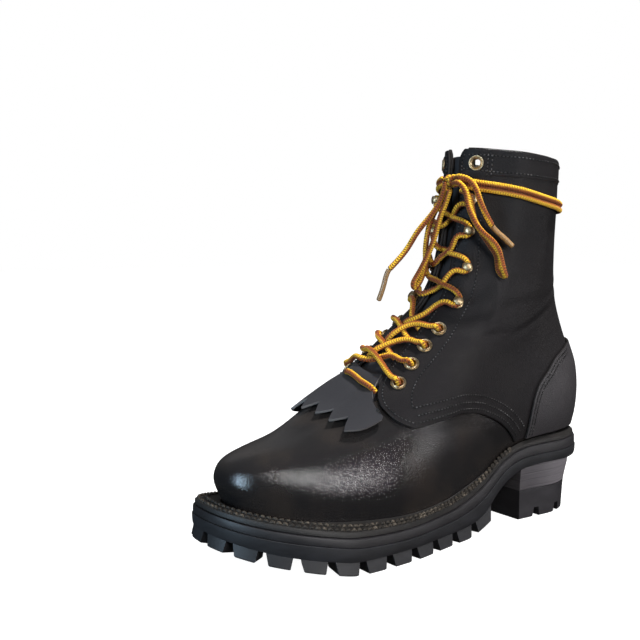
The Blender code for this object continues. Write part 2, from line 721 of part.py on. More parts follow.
BAND_COLUMNS = 31
band_turns = np.linspace(-0.385, 0.385, BAND_COLUMNS)
band_low = eased([0.0, 0.25, 0.385], [0.935, 0.941, 0.946], np.abs(band_turns))
band_rises = np.stack([band_low, np.full(BAND_COLUMNS, 0.997)])
sheet("collar_band", surface(band_turns, band_rises, BAND_LIFT), 1.5, "black leather")

loop_z = np.array([235.0, 237.0, 242.0, 247.0, 251.5, 254.5])
loop_x = np.array([-130.3, -133.6, -137.6, -138.4, -136.0, -131.4])
loop_grid = np.stack([np.column_stack([loop_x, np.full(6, y), loop_z]) for y in (-10.0, -3.0, 4.0)], axis=1)
sheet("pull_loop", loop_grid, 1.5, "black leather")

# Tongue inside the throat and fringed kiltie over the vamp
TONGUE_RISES = np.array([0.38, 0.43, 0.49, 0.545, 0.60, 0.65, 0.69, 0.74, 0.81, 0.90, 0.985])
tongue_half = eased([0.37, 0.5, 0.8, 0.985], [0.115, 0.105, 0.085, 0.062], TONGUE_RISES)[:, None]
tongue_turns = 0.5 + tongue_half * np.linspace(-1, 1, 11)
sheet("tongue", surface(tongue_turns, TONGUE_RISES[:, None], TONGUE_LIFT), WALL, "edge leather")

# Lower edge of the kiltie, cut to five teeth, and the line where the teeth spring from it
Fringe = namedtuple("Fringe", "turn rise root_turn root_rise")
FRINGE = [
    Fringe(0.360, 0.335, 0.363, 0.345),
    Fringe(0.373, 0.305, 0.380, 0.358),
    Fringe(0.393, 0.310, 0.400, 0.372),
    Fringe(0.415, 0.369, 0.417, 0.384),
    Fringe(0.443, 0.362, 0.443, 0.402),
    Fringe(0.468, 0.404, 0.468, 0.412),
    Fringe(0.491, 0.382, 0.488, 0.416),
    Fringe(0.507, 0.407, 0.507, 0.417),
    Fringe(0.524, 0.374, 0.524, 0.412),
    Fringe(0.542, 0.395, 0.542, 0.403),
    Fringe(0.566, 0.349, 0.575, 0.380),
    Fringe(0.620, 0.310, 0.612, 0.360),
    Fringe(0.640, 0.335, 0.637, 0.345),
]
KILTIE_RISES = (0.435, 0.47, 0.515)
KILTIE_THICK = 1.6


def kiltie_grid():
    """Outer points of the kiltie from its fringe up into the throat."""
    rows = [(column(FRINGE, "turn"), column(FRINGE, "rise")), (column(FRINGE, "root_turn"), column(FRINGE, "root_rise"))]
    for rise in KILTIE_RISES:
        half = 0.5 - throat_turn(rise) - 0.009
        rows.append((np.linspace(0.5 - half, 0.5 + half, len(FRINGE)), np.full(len(FRINGE), rise)))
    turns, rises = (np.stack(values) for values in zip(*rows))
    lifts = eased([0.30, 0.36, 0.40, 0.44, 0.47, 0.52], [4.4, 3.6, 2.7, 1.9, 0.9, 0.2], rises)
    return surface(turns, rises, lifts)


sheet("kiltie", kiltie_grid(), KILTIE_THICK, "edge leather")

# Eyelets with their holes, and lace hooks
EYELET_PROFILE = [
    (EYELET_HOLE, -4.3),
    (EYELET_BARREL, -4.3),
    (EYELET_BARREL, 0.0),
    (EYELET_RIM, 0.0),
    (EYELET_RIM - 0.9, 1.2),
    (EYELET_HOLE, 0.8),
]


def eyelet(name, turn, rise):
    """Turned brass eyelet through the facing, with the hole it needs."""
    mesh = bpy.data.meshes.new(name)
    count = len(EYELET_PROFILE)
    mesh.from_pydata(
        [(r * MM, 0.0, z * MM) for r, z in EYELET_PROFILE], [(k, (k + 1) % count) for k in range(count)], []
    )
    obj = place(bpy.data.objects.new(name, mesh), parts, "aged brass")
    spin = obj.modifiers.new("turned", "SCREW")
    spin.axis = "Z"
    spin.steps = spin.render_steps = 8
    spin.use_merge_vertices = True
    spin.merge_threshold = 0.00001
    spin.use_normal_flip = True
    obj.matrix_world = seat_on(turn, rise, FITTING_LIFT)
    return obj


def hole(name, turn, rise):
    """Cutter for one eyelet's hole."""
    mesh = bpy.data.meshes.new(name)
    work = bmesh.new()
    bmesh.ops.create_cone(
        work, cap_ends=True, segments=8, radius1=EYELET_CUT * MM, radius2=EYELET_CUT * MM, depth=14 * MM
    )
    work.to_mesh(mesh)
    work.free()
    obj = place(bpy.data.objects.new(name, mesh), cutters)
    obj.matrix_world = seat_on(turn, rise, 0.0)
    return obj


HOOK_PROFILE = [
    (3.6, 0.0), (3.6, 1.0), (-1.6, 1.0), (-2.0, 1.6), (-2.0, 5.2), (-1.4, 5.8), (2.8, 5.8), (3.6, 5.2), (4.1, 5.8),
    (3.2, 6.8), (-1.9, 6.8), (-3.0, 5.8), (-3.0, 1.0), (-3.4, 0.0),
]


def hook(name, turn, rise, outer):
    """Bent plate hook, open away from the throat."""
    aside = 1.0 if outer else -1.0
    mesh = bpy.data.meshes.new(name)
    points = [(aside * x * MM, HOOK_WIDTH / 2 * MM, z * MM) for x, z in HOOK_PROFILE]
    mesh.from_pydata(points, [], [list(range(len(points)))])
    if mesh.polygons[0].normal.y < 0:
        mesh.flip_normals()
    obj = place(bpy.data.objects.new(name, mesh), parts, "aged brass")
    plate = obj.modifiers.new("width", "SOLIDIFY")
    plate.thickness = HOOK_WIDTH * MM
    plate.offset = -1.0
    obj.matrix_world = seat_on(turn, rise, FITTING_LIFT)
    return obj


for outer, word in ((True, "outer"), (False, "inner")):
    for number, spot in enumerate(EYELETS, 1):
        turn = spot.turn if outer else 1 - spot.turn
        eyelet(f"eyelet_{word}_{number}", turn, spot.rise)
        cut = hole(f"hole_{word}_{number}", turn, spot.rise)
        for leather in (upper, quarters[0 if outer else 1]):
            boolean(leather, cut, "DIFFERENCE")
    for number, spot in enumerate(HOOKS, 1):
        hook(f"hook_{word}_{number}", spot.turn if outer else 1 - spot.turn, spot.rise, outer)

# Laces: bar, crossings, hooked strands and wrap
LACE_LIFT = FITTING_LIFT + 1.2 + GAP + LACE


def mirrored(rows):
    """The same lace places on the other side of the throat."""
    return [Hang(1 - row.turn, row.rise, row.lift) for row in rows]


def path(rows, count):
    """Smooth cord path through places on the form or in the air."""
    return flow([surface(*row) if isinstance(row, Hang) else row for row in rows], count)


def from_eyelet(spot, lip):
    """First places of a strand that leaves an eyelet towards a place at the throat's lip."""
    places = [Hang(spot.turn, spot.rise, -0.5), Hang(spot.turn, spot.rise, 3.2)]
    for share, lift in ((0.34, LACE_LIFT + 1.6), (0.66, LACE_LIFT + 0.6), (0.96, LACE_LIFT)):
        places.append(
            Hang(spot.turn + share * (lip.turn - spot.turn), spot.rise + share * (lip.rise - spot.rise), lift)
        )
    return places


low, high = EYELETS[0], EYELETS[1]
over = from_eyelet(low, Spot(0.428, 0.503)) + [Hang(0.486, 0.542, 5.9), Hang(0.515, 0.550, 5.9)]
over += mirrored(from_eyelet(high, Spot(0.454, 0.548)))[::-1]
under = mirrored(from_eyelet(low, Spot(0.423, 0.508)))
under += [Hang(0.528, 0.528, 3.8), Hang(0.510, 0.5375, 3.2), Hang(0.497, 0.548, 3.2)]
under += from_eyelet(high, Spot(0.455, 0.556))[::-1]
joined("lace_cross_1", [path(over, 18), path(under, 18)], LACE, "lace cord")

# Strands of the third and fourth eyelets: the lip they pass, their middle, and their end under the other facing
Strand = namedtuple("Strand", "eyelet outer lip middle end")
STRANDS = [
    Strand(2, True, Spot(0.4385, 0.596), Hang(0.485, 0.588, 5.0), Hang(0.530, 0.545, 0.4)),
    Strand(2, False, Spot(0.448, 0.5835), Hang(0.495, 0.578, 2.6), Hang(0.527, 0.560, 0.4)),
    Strand(3, True, Spot(0.440, 0.636), Hang(0.478, 0.636, 5.0), Hang(0.5215, 0.590, 0.4)),
    Strand(3, False, Spot(0.445, 0.633), Hang(0.495, 0.624, 2.6), Hang(0.5215, 0.608, 0.4)),
]
for number in (2, 3):
    strands = []
    for row in STRANDS:
        if row.eyelet == number:
            places = from_eyelet(EYELETS[row.eyelet], row.lip) + [row.middle, row.end]
            strands.append(path(places if row.outer else mirrored(places), 12))
    joined(f"lace_cross_{number}", strands, LACE, "lace cord")

BAR = [
    Hang(0.540, 0.4875, 2.7),
    Hang(0.530, 0.489, 3.1),
    Hang(0.5085, 0.4915, 3.3),
    Hang(0.475, 0.4836, 3.3),
    Hang(0.443, 0.469, 3.1),
    Hang(0.430, 0.461, 2.9),
]
tube("lace_bar", path(BAR, 9), LACE, "lace cord")

HOOK_LACE = FITTING_LIFT + 1.0 + 0.85 + LACE


def round_hook(spot, outer):
    """Places where the lace passes under a hook, from below to above."""
    turn = spot.turn if outer else 1 - spot.turn
    matrix = seat_on(turn, spot.rise, HOOK_LACE)
    aside = 1.0 if outer else -1.0
    bends = [(-4.4, -7.4), (1.1, -3.8), (1.1, 3.8), (-4.4, 7.4)]
    return [np.array(matrix @ Vector((aside * a * MM, u * MM, 0.0))) / MM for a, u in bends]


def hooked(first_outer):
    """Strand from the throat round the hooks in turn, side to side, bent over the lips of the facings."""
    middle = 2.6 if first_outer else 0.6
    begin = [Hang(0.521, 0.640, 0.4), Hang(0.476, 0.6615, middle + 2.2), Hang(0.460, 0.6795, 5.0)]
    points = [surface(*row) for row in (begin if first_outer else mirrored(begin))]
    outer = first_outer
    for number, spot in enumerate(HOOKS):
        more = number + 1 < len(HOOKS)
        points += round_hook(spot, outer) if more else round_hook(spot, outer)[:3]
        if more:
            step = HOOKS[number + 1].rise - spot.rise
            rise = spot.rise + step / 2
            lean = 0.5 - throat_turn(rise) if outer else throat_turn(rise) - 0.5
            points.append(surface(0.5 - lean, rise - 0.17 * step, 4.7))
            points.append(surface(0.5, rise, middle))
            points.append(surface(0.5 + lean, rise + 0.17 * step, 4.7))
        outer = not outer
    return points


joined("lace_hooked", [hooked(True), hooked(False)], LACE, "lace cord")

wrap_turns = np.linspace(-0.481, 0.459, 26)
wrap_reach = np.abs(wrap_turns)
wrap_rise = eased([0, 0.19, 0.246, 0.305, 0.348, 0.42, 0.47], [0.862, 0.882, 0.897, 0.911, 0.921, 0.926, 0.934], wrap_reach)
wrap_apart = eased([0.0, 0.30, 0.42, 0.47], [0.0095, 0.008, 0.005, 0.0044], wrap_reach)
wrap_lift = eased([0.0, 0.36, 0.47], [3.9, 3.9, 4.9], wrap_reach)
strands = [surface(wrap_turns, wrap_rise + side * wrap_apart, wrap_lift) for side in (-1, 1)]
joined("lace_wrap", strands, LACE, "lace cord")

# Knot, loops and ends of the laces
knot_middle = surface(KNOT.turn, KNOT.rise, KNOT.lift)
spin = np.linspace(0.15, 3.6 * math.pi, 13)
knot = np.column_stack(
    [
        knot_middle[0] + 2.6 * np.cos(spin),
        knot_middle[1] - 3.4 + 3.9 * spin / (2 * math.pi),
        knot_middle[2] + 2.6 * np.sin(spin),
    ]
)
tube("lace_knot", knot, LACE, "lace cord")
tube("lace_loop_left", flow(LEFT_LOOP, 20), LACE, "lace cord")
tube("lace_loop_right", path(RIGHT_LOOP, 22), LACE, "lace cord")
tube("lace_end_left", flow(LEFT_END, 10), LACE, "lace cord")
tube("lace_end_right", path(RIGHT_END, 9), LACE, "lace cord")
tube("aglet_left", flow(LEFT_AGLET, 4), LACE * 0.9, "aglet")
tube("aglet_right", path(RIGHT_AGLET, 4), LACE * 0.9, "aglet")
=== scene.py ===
"""Looks of a left wildland fire boot: leather upper, fringed kiltie, lug sole, brass fittings and laces.

The boot's form is a function of two numbers. Turn runs round the boot from the back (0) past the outer side
to the front (0.5) and on past the inner side, and rise runs from the sole (0) to the collar (1). Sizes are in
millimetres in this file and in metres in the meshes, and +X points to the toe, +Y to the outer side, +Z up.
"""

from __future__ import annotations

import logging
import math
from dataclasses import dataclass
from enum import Enum
from typing import Any, NamedTuple, Sequence

import bmesh
import bpy
import numpy as np
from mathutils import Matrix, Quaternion, Vector

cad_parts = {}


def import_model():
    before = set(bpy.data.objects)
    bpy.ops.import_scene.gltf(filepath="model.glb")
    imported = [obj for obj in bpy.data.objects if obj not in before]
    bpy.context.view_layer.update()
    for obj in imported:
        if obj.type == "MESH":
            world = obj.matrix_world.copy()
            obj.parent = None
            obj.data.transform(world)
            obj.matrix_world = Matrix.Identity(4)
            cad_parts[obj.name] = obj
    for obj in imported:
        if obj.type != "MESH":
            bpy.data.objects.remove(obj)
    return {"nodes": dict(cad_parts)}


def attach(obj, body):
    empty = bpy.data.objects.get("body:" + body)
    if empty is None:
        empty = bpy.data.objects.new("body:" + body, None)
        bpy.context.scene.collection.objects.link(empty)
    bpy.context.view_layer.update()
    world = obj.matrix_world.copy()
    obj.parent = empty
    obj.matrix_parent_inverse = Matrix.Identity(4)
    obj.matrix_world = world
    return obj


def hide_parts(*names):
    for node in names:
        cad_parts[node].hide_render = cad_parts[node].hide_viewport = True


Array = np.ndarray
Faces = Sequence[Sequence[int]] | np.ndarray
Piece = bpy.types.Object
Material = bpy.types.Material
Triple = tuple[float, float, float]
Colour = Triple
Pair = tuple[float, float]
log = logging.getLogger("boot")

MM = 0.001
BODY = "root"
SMOOTH_ANGLE = 38.0
CURVE_SAMPLES = 1201

# Step of turn and rise over which directions are read
STEP = 0.003

# Thicknesses of the leather, and the lace's radius
WALL = 2.0
OVERLAY = 1.8
LACE_RADIUS = 1.95

# Lifts of the layers off the form
WALL_LIFT = -1.1
QUARTER_LIFT = 1.1
BAND_LIFT = 1.55
COUNTER_LIFT = 3.3
FITTING_LIFT = 1.75
TONGUE_LIFT = -4.6


class Section(NamedTuple):
    """One section of the last: its ends and its half widths to the outer and inner side."""

    rise: float
    front_x: float
    front_z: float
    back_x: float
    back_z: float
    out_heel: float
    out_waist: float
    out_ball: float
    out_toe: float
    in_heel: float
    in_waist: float
    in_ball: float
    in_toe: float


LAST = (
    Section(0.00, 140, 41, -149, 60, 30, 33, 47, 42, 30, 28, 43, 36),
    Section(0.07, 146, 54, -153, 76, 33, 35, 49, 43, 33, 30, 45, 37),
    Section(0.14, 142, 66, -154, 92, 34, 36, 48, 41, 34, 31, 44, 36),
    Section(0.22, 128, 75, -152, 108, 34, 36, 45, 38, 34, 32, 42, 34),
    Section(0.31, 102, 82, -146, 123, 33, 36, 43, 36, 33, 33, 41, 33),
    Section(0.41, 68, 94, -139, 139, 32, 36, 40, 33, 32, 34, 38, 31),
    Section(0.50, 40, 110, -133, 154, 32, 37, 38, 29, 32, 35, 37, 28),
    Section(0.60, 10, 132, -128, 170, 34, 38, 37, 27, 34, 37, 36, 26),
    Section(0.70, -18, 159, -124, 188, 36, 39, 37, 28, 36, 38, 36, 26),
    Section(0.79, -31, 189, -123, 206, 37, 41, 38, 29, 37, 40, 37, 24.5),
    Section(0.89, -37, 226, -124, 230, 38, 43, 40, 31, 39, 42, 39, 25),
    Section(1.00, -40, 266, -126, 255, 37.5, 44, 42, 33, 39, 43, 41, 26),
)
WIDTH_STATIONS = (-0.1, 0.14, 0.38, 0.66, 0.86, 1.1)

# Millimetres of height to one rise, below the foot and above the collar
RISE_BELOW = 180.0
RISE_ABOVE = 364.0


class Raised(NamedTuple):
    """Lift off the form at a rise."""

    rise: float
    lift: float


# Ridge of the instep, which stands on the inner side of the front line
INSTEP = (
    Raised(0.00, 0.0), Raised(0.27, 0.0), Raised(0.34, 3.0), Raised(0.41, 6.2), Raised(0.60, 5.6),
    Raised(0.67, 2.4), Raised(0.73, 0.0), Raised(1.00, 0.0),
)
RIDGE_STARTS = (0.465, 0.550)
RIDGE_FADES = (0.60, 0.75)


class EndReach(NamedTuple):
    """How far the round front and back of the last reach at a rise."""

    rise: float
    front: float
    back: float


ENDS = (
    EndReach(0.0, 0.26, 0.16), EndReach(0.2, 0.30, 0.19), EndReach(0.4, 0.34, 0.25),
    EndReach(0.6, 0.42, 0.34), EndReach(1.0, 0.50, 0.50),
)
END_POWER = 2.3
FEATHER_FADE = 0.5


class Sole(NamedTuple):
    """One station of the sole: its edges and the heights of its layers."""

    x: float
    outer: float
    inner: float
    tread: float
    root: float
    joint: float
    seat: float
    lip: float
    feather: float


SOLE = (
    Sole(-156, 34.0, -37.0, 0.0, 41.0, 48.0, 55.0, 58.5, 60.5),
    Sole(-115, 35.5, -38.5, 0.0, 41.0, 48.0, 55.0, 58.3, 59.3),
    Sole(-85, 34.5, -38.0, 0.0, 40.0, 47.2, 54.0, 57.0, 57.8),
    Sole(-75, 34.5, -37.5, 0.0, 38.0, 45.8, 52.5, 55.5, 56.3),
    Sole(-62, 35.0, -36.5, 12.0, 32.5, 41.2, 48.0, 51.3, 52.0),
    Sole(-50, 36.0, -36.0, 10.0, 23.5, 33.0, 41.0, 44.8, 46.3),
    Sole(-40, 37.0, -36.5, 5.0, 14.0, 25.5, 33.7, 38.0, 41.5),
    Sole(-20, 40.5, -39.0, 0.0, 8.5, 18.5, 26.0, 31.0, 35.0),
    Sole(0, 44.5, -43.0, 0.0, 8.0, 16.0, 22.5, 27.0, 31.2),
    Sole(40, 52.5, -52.0, 0.0, 8.0, 15.0, 21.0, 25.5, 29.2),
    Sole(80, 54.5, -57.5, 0.3, 8.5, 17.0, 23.0, 27.5, 30.8),
    Sole(100, 52.7, -57.5, 3.5, 11.5, 20.5, 26.0, 30.5, 32.8),
    Sole(120, 49.0, -55.0, 7.5, 15.0, 24.0, 29.5, 34.0, 35.8),
    Sole(135, 46.0, -51.5, 10.8, 18.5, 27.0, 32.5, 37.0, 38.6),
    Sole(156, 44.0, -48.0, 17.0, 25.0, 32.5, 38.0, 42.0, 43.0),
)
HALF_LENGTH = 156.0


class Middle(NamedTuple):
    """Middle line of the sole and of the last along the length."""

    x: float
    sole: float
    last: float


MIDDLE = (
    Middle(-156, -3, -3), Middle(-100, -3, -3), Middle(0, 0, 0), Middle(90, -2, -3), Middle(156, -12, -11),
)


class Taper(NamedTuple):
    """How far the heel's back and sides are drawn in at a height, and where its breast stands."""

    z: float
    back: float
    side: float
    breast: float


LIFT_HEIGHT = 22.0
HEEL = (
    Taper(0.0, 15.5, 6.0, -80.0),
    Taper(LIFT_HEIGHT, 13.0, 4.5, -78.5),
    Taper(32.0, 9.8, 3.0, -77.5),
    Taper(41.0, 7.0, 2.0, -77.0),
)
BREAST_X = -77.0
BREAST_BOW = 1.5
HEEL_HALF_WIDTH = 36.0
HEEL_Y = -2.0
WELT_INSET = 2.6
WELT_LIFT = -0.3


class Edge(NamedTuple):
    """A point of a cut edge on the form."""

    rise: float
    turn: float


FACING = (
    Edge(0.270, 0.308), Edge(0.307, 0.330), Edge(0.358, 0.359), Edge(0.402, 0.387), Edge(0.440, 0.411),
    Edge(0.475, 0.430), Edge(0.510, 0.445), Edge(0.550, 0.458), Edge(0.600, 0.466), Edge(0.700, 0.466),
    Edge(0.800, 0.470), Edge(0.900, 0.476), Edge(1.000, 0.484),
)
VAMP_SEAM = (
    Edge(0.015, 0.173), Edge(0.066, 0.183), Edge(0.116, 0.195), Edge(0.175, 0.212), Edge(0.230, 0.234),
    Edge(0.262, 0.256),
)
COUNTER_EDGE = (
    Edge(0.015, 0.161), Edge(0.089, 0.160), Edge(0.148, 0.158), Edge(0.206, 0.152), Edge(0.250, 0.140),
    Edge(0.307, 0.121), Edge(0.330, 0.085),
)
BAND_EDGE = (Edge(0.935, 0.0), Edge(0.941, 0.25), Edge(0.946, 0.385), Edge(0.951, 0.466))
FACING_STITCH = (
    Edge(0.361, 0.333), Edge(0.403, 0.348), Edge(0.445, 0.358), Edge(0.479, 0.361), Edge(0.526, 0.357),
    Edge(0.584, 0.356), Edge(0.640, 0.362), Edge(0.698, 0.368), Edge(0.751, 0.375), Edge(0.820, 0.389),
    Edge(0.876, 0.395), Edge(0.930, 0.392),
)
THROAT_RISE = 0.43
COLLAR_RISE = 0.997
FOOT_RISE = 0.015
CORNER_RISE = 0.965
CORNER_REACH = 0.036
SEAM_TOP = VAMP_SEAM[-1].rise
FACING_FOOT = FACING[0].rise

# Edge of the tongue, its turns counted from the front line, and the kiltie's lift
TONGUE = (Edge(0.37, 0.115), Edge(0.5, 0.105), Edge(0.8, 0.085), Edge(0.985, 0.062))
KILTIE = (
    Raised(0.30, 4.6), Raised(0.36, 4.0), Raised(0.40, 3.2), Raised(0.44, 2.4), Raised(0.47, 1.4),
    Raised(0.52, 0.6),
)


class Side(Enum):
    """The two sides of the boot."""

    OUTER = "outer"
    INNER = "inner"

    @property
    def sign(self) -> float:
        """1 on the outer side and -1 on the inner side."""
        return 1.0 if self is Side.OUTER else -1.0

    @property
    def other(self) -> Side:
        """The side across the boot."""
        return Side.INNER if self is Side.OUTER else Side.OUTER

    def turn(self, turn: Array | float) -> Array | float:
        """Turn on this side for a turn on the outer side."""
        return turn if self is Side.OUTER else 1 - turn


class Spot(NamedTuple):
    """Place of a fitting on the outer side; the inner side mirrors it."""

    turn: float
    rise: float


EYELETS = (
    Spot(0.391, 0.469), Spot(0.399, 0.529), Spot(0.404, 0.582), Spot(0.402, 0.626), Spot(0.423, 0.970),
)
HOOKS = (Spot(0.396, 0.687), Spot(0.408, 0.767), Spot(0.422, 0.840), Spot(0.427, 0.900))


class Hang(NamedTuple):
    """Place of a lace on the form, with its lift."""

    turn: float
    rise: float
    lift: float


class Air(NamedTuple):
    """Place of a lace in the air."""

    x: float
    y: float
    z: float


KNOT = Hang(0.479, 0.934, 7.2)
RIGHT_END = (
    Air(-31.2, 9.7, 244.4), Hang(0.449, 0.940, 13.0), Hang(0.4285, 0.9345, 13.0), Hang(0.413, 0.919, 13.5),
    Hang(0.401, 0.894, 13.5), Hang(0.386, 0.8705, 12.6), Hang(0.362, 0.845, 10.2),
)
RIGHT_AGLET = (Hang(0.359, 0.8425, 9.8), Hang(0.3325, 0.8207, 8.8), Hang(0.312, 0.7985, 8.2))
RIGHT_LOOP = (
    Air(-28.9, 10.1, 240.6), Hang(0.442, 0.925, 16.5), Hang(0.431, 0.912, 17.0), Hang(0.424, 0.889, 17.0),
    Hang(0.414, 0.866, 17.0), Hang(0.402, 0.847, 16.5), Hang(0.380, 0.828, 16.0), Hang(0.354, 0.811, 15.5),
    Hang(0.3385, 0.792, 14.5), Hang(0.328, 0.765, 12.5), Hang(0.318, 0.738, 10.5), Hang(0.314, 0.731, 7.0),
    Hang(0.322, 0.740, 4.5), Hang(0.337, 0.778, 7.2), Hang(0.355, 0.802, 9.5), Hang(0.373, 0.819, 10.5),
    Hang(0.393, 0.838, 11.0), Hang(0.408, 0.858, 11.5), Hang(0.4185, 0.883, 11.5), Hang(0.428, 0.905, 11.5),
    Air(-31.9, 13.8, 235.9),
)
LEFT_END = (
    Air(-28.7, 2.4, 242.1), Air(-25.7, 2.2, 231.8), Air(-19.4, -2.7, 218.4), Air(-11.9, -8.0, 206.8),
    Air(-7.7, -12.1, 197.0), Air(-1.9, -15.7, 188.3), Air(3.2, -19.5, 181.4),
)
LEFT_AGLET = (Air(3.6, -19.8, 180.5), Air(6.1, -21.7, 170.4), Air(8.9, -24.1, 159.3))
LEFT_LOOP = (
    Air(-31.6, 4.6, 237.7), Air(-29.6, -2.1, 230.1), Air(-26.5, -5.1, 222.7), Air(-21.9, -6.2, 212.4),
    Air(-20.5, -7.3, 203.3), Air(-20.6, -8.6, 194.0), Air(-20.9, -9.0, 185.8), Air(-19.4, -9.4, 178.9),
    Air(-15.4, -9.6, 171.4), Air(-12.0, -9.6, 168.8), Air(-9.6, -8.5, 171.0), Air(-11.4, -8.0, 175.5),
    Air(-15.2, -6.4, 182.5), Air(-18.6, -4.2, 191.0), Air(-20.6, -1.6, 199.0), Air(-22.4, 0.4, 208.0),
    Air(-24.0, 2.8, 218.2), Air(-26.0, 6.4, 228.5), Air(-27.5, 8.3, 236.5),
)


class Fringe(NamedTuple):
    """Point of the kiltie's lower edge and the place above it where its teeth spring."""

    turn: float
    rise: float
    root_turn: float
    root_rise: float


FRINGE = (
    Fringe(0.3591, 0.3337, 0.3615, 0.344),
    Fringe(0.3622, 0.3202, 0.366, 0.348),
    Fringe(0.3669, 0.3086, 0.372, 0.3525),
    Fringe(0.3728, 0.3039, 0.380, 0.358),
    Fringe(0.393, 0.310, 0.400, 0.372),
    Fringe(0.415, 0.369, 0.417, 0.384),
    Fringe(0.443, 0.362, 0.443, 0.402),
    Fringe(0.468, 0.404, 0.468, 0.412),
    Fringe(0.491, 0.382, 0.488, 0.416),
    Fringe(0.507, 0.407, 0.507, 0.417),
    Fringe(0.524, 0.374, 0.524, 0.412),
    Fringe(0.542, 0.395, 0.542, 0.403),
    Fringe(0.566, 0.349, 0.575, 0.380),
    Fringe(0.620, 0.310, 0.612, 0.360),
    Fringe(0.632, 0.317, 0.628, 0.351),
    Fringe(0.640, 0.335, 0.637, 0.345),
)
BAR = (
    Hang(0.540, 0.4875, -1.0), Hang(0.533, 0.4886, 1.8), Hang(0.5085, 0.4915, 3.3),
    Hang(0.4753, 0.4836, 3.4), Hang(0.4450, 0.470, 3.1), Hang(0.4345, 0.4640, 1.7),
    Hang(0.4280, 0.4600, -1.0),
)


class Strand(NamedTuple):
    """Strand of an eyelet: the lip that it passes, its middle, and its end under the other facing."""

    eyelet: int
    side: Side
    lip: Spot
    middle: Hang
    end: Hang


STRANDS = (
    Strand(2, Side.OUTER, Spot(0.4385, 0.596), Hang(0.485, 0.590, 5.0), Hang(0.530, 0.545, 0.4)),
    Strand(2, Side.INNER, Spot(0.448, 0.5835), Hang(0.495, 0.578, 2.2), Hang(0.536, 0.560, 0.4)),
    Strand(3, Side.OUTER, Spot(0.440, 0.636), Hang(0.478, 0.637, 5.0), Hang(0.5235, 0.590, 0.4)),
    Strand(3, Side.INNER, Spot(0.445, 0.633), Hang(0.495, 0.624, 2.2), Hang(0.532, 0.608, 0.4)),
)


class Bend(NamedTuple):
    """How a hooked strand crosses the throat: its middle off the even rise, and its lips off its middle."""

    first: Side
    hook: int
    middle: float
    near: float
    far: float


BENDS = (
    Bend(Side.OUTER, 0, 0.0175, -0.010, 0.004),
    Bend(Side.OUTER, 1, -0.0120, -0.016, 0.016),
    Bend(Side.OUTER, 2, 0.0030, -0.008, 0.006),
    Bend(Side.INNER, 0, 0.0025, -0.020, 0.010),
    Bend(Side.INNER, 1, 0.0030, -0.008, 0.005),
    Bend(Side.INNER, 2, -0.0060, -0.014, 0.014),
)


class Crease(NamedTuple):
    """A soft trough with a low ridge beside it, in the boot's own sizes."""

    turn: float
    rise: float
    slant: float
    length: float
    width: float
    depth: float


CREASES = (
    Crease(0.30, 0.560, 0.5, 22.0, 5.0, 0.55),
    Crease(0.26, 0.630, 0.3, 26.0, 6.0, 0.50),
    Crease(0.16, 0.520, -0.3, 22.0, 6.0, 0.45),
    Crease(0.10, 0.600, -0.2, 20.0, 5.0, 0.35),
    Crease(0.70, 0.560, -0.5, 22.0, 5.0, 0.55),
    Crease(0.75, 0.640, -0.3, 24.0, 6.0, 0.50),
    Crease(0.88, 0.560, 0.3, 22.0, 6.0, 0.40),
    Crease(0.42, 0.250, -0.2, 16.0, 5.0, 0.06),
    Crease(0.36, 0.185, 0.4, 18.0, 6.0, 0.06),
    Crease(0.62, 0.230, 0.3, 18.0, 6.0, 0.12),
)
CREASE_RIDGE = 0.5
CREASE_GAP = 1.9

# Millimetres of leather to one turn and to one rise about the ankle, and to one rise at the collar
TURN_MM = 330.0
RISE_MM = 310.0
COLLAR_MM = 260.0


# Curves and surfaces as arrays
def column(rows: Sequence[NamedTuple], name: str) -> Array:
    """One named column of a table."""
    return np.array([getattr(row, name) for row in rows], float)


def eased(keys: Array, values: Array, at: Array) -> Array:
    """Cubic curve through values with slopes as weighted harmonic means, so that it never overshoots.

    Args:
        keys: rising places of the values.
        values: the values at those places.
        at: places to read, held inside the keys.

    Returns:
        The curve's values at those places.
    """
    keys, values = np.asarray(keys, float), np.asarray(values, float)
    at = np.clip(np.asarray(at, float), keys[0], keys[-1])
    width, rate = np.diff(keys), np.diff(values) / np.diff(keys)
    slope = np.concatenate([rate[:1], np.zeros(len(keys) - 2), rate[-1:]])
    near, far = 2 * width[1:] + width[:-1], width[1:] + 2 * width[:-1]
    same = rate[:-1] * rate[1:] > 0
    before, after = np.where(same, rate[:-1], 1.0), np.where(same, rate[1:], 1.0)
    slope[1:-1] = np.where(same, (near + far) / (near / before + far / after), 0.0)
    i = np.clip(np.searchsorted(keys, at, side="right") - 1, 0, len(width) - 1)
    f = (at - keys[i]) / width[i]
    start = values[i] * (1 + 2 * f) * (1 - f) ** 2 + slope[i] * width[i] * f * (1 - f) ** 2
    return start + values[i + 1] * f**2 * (3 - 2 * f) + slope[i + 1] * width[i] * f**2 * (f - 1)


def unit(vectors: Array) -> Array:
    """Vectors of length one."""
    return vectors / np.maximum(np.linalg.norm(vectors, axis=-1, keepdims=True), 1e-12)


def smoothstep(low: float, high: float, value: Array) -> Array:
    """Share from 0 at low to 1 at high, level at both ends."""
    f = np.clip((value - low) / (high - low), 0, 1)
    return f * f * (3 - 2 * f)


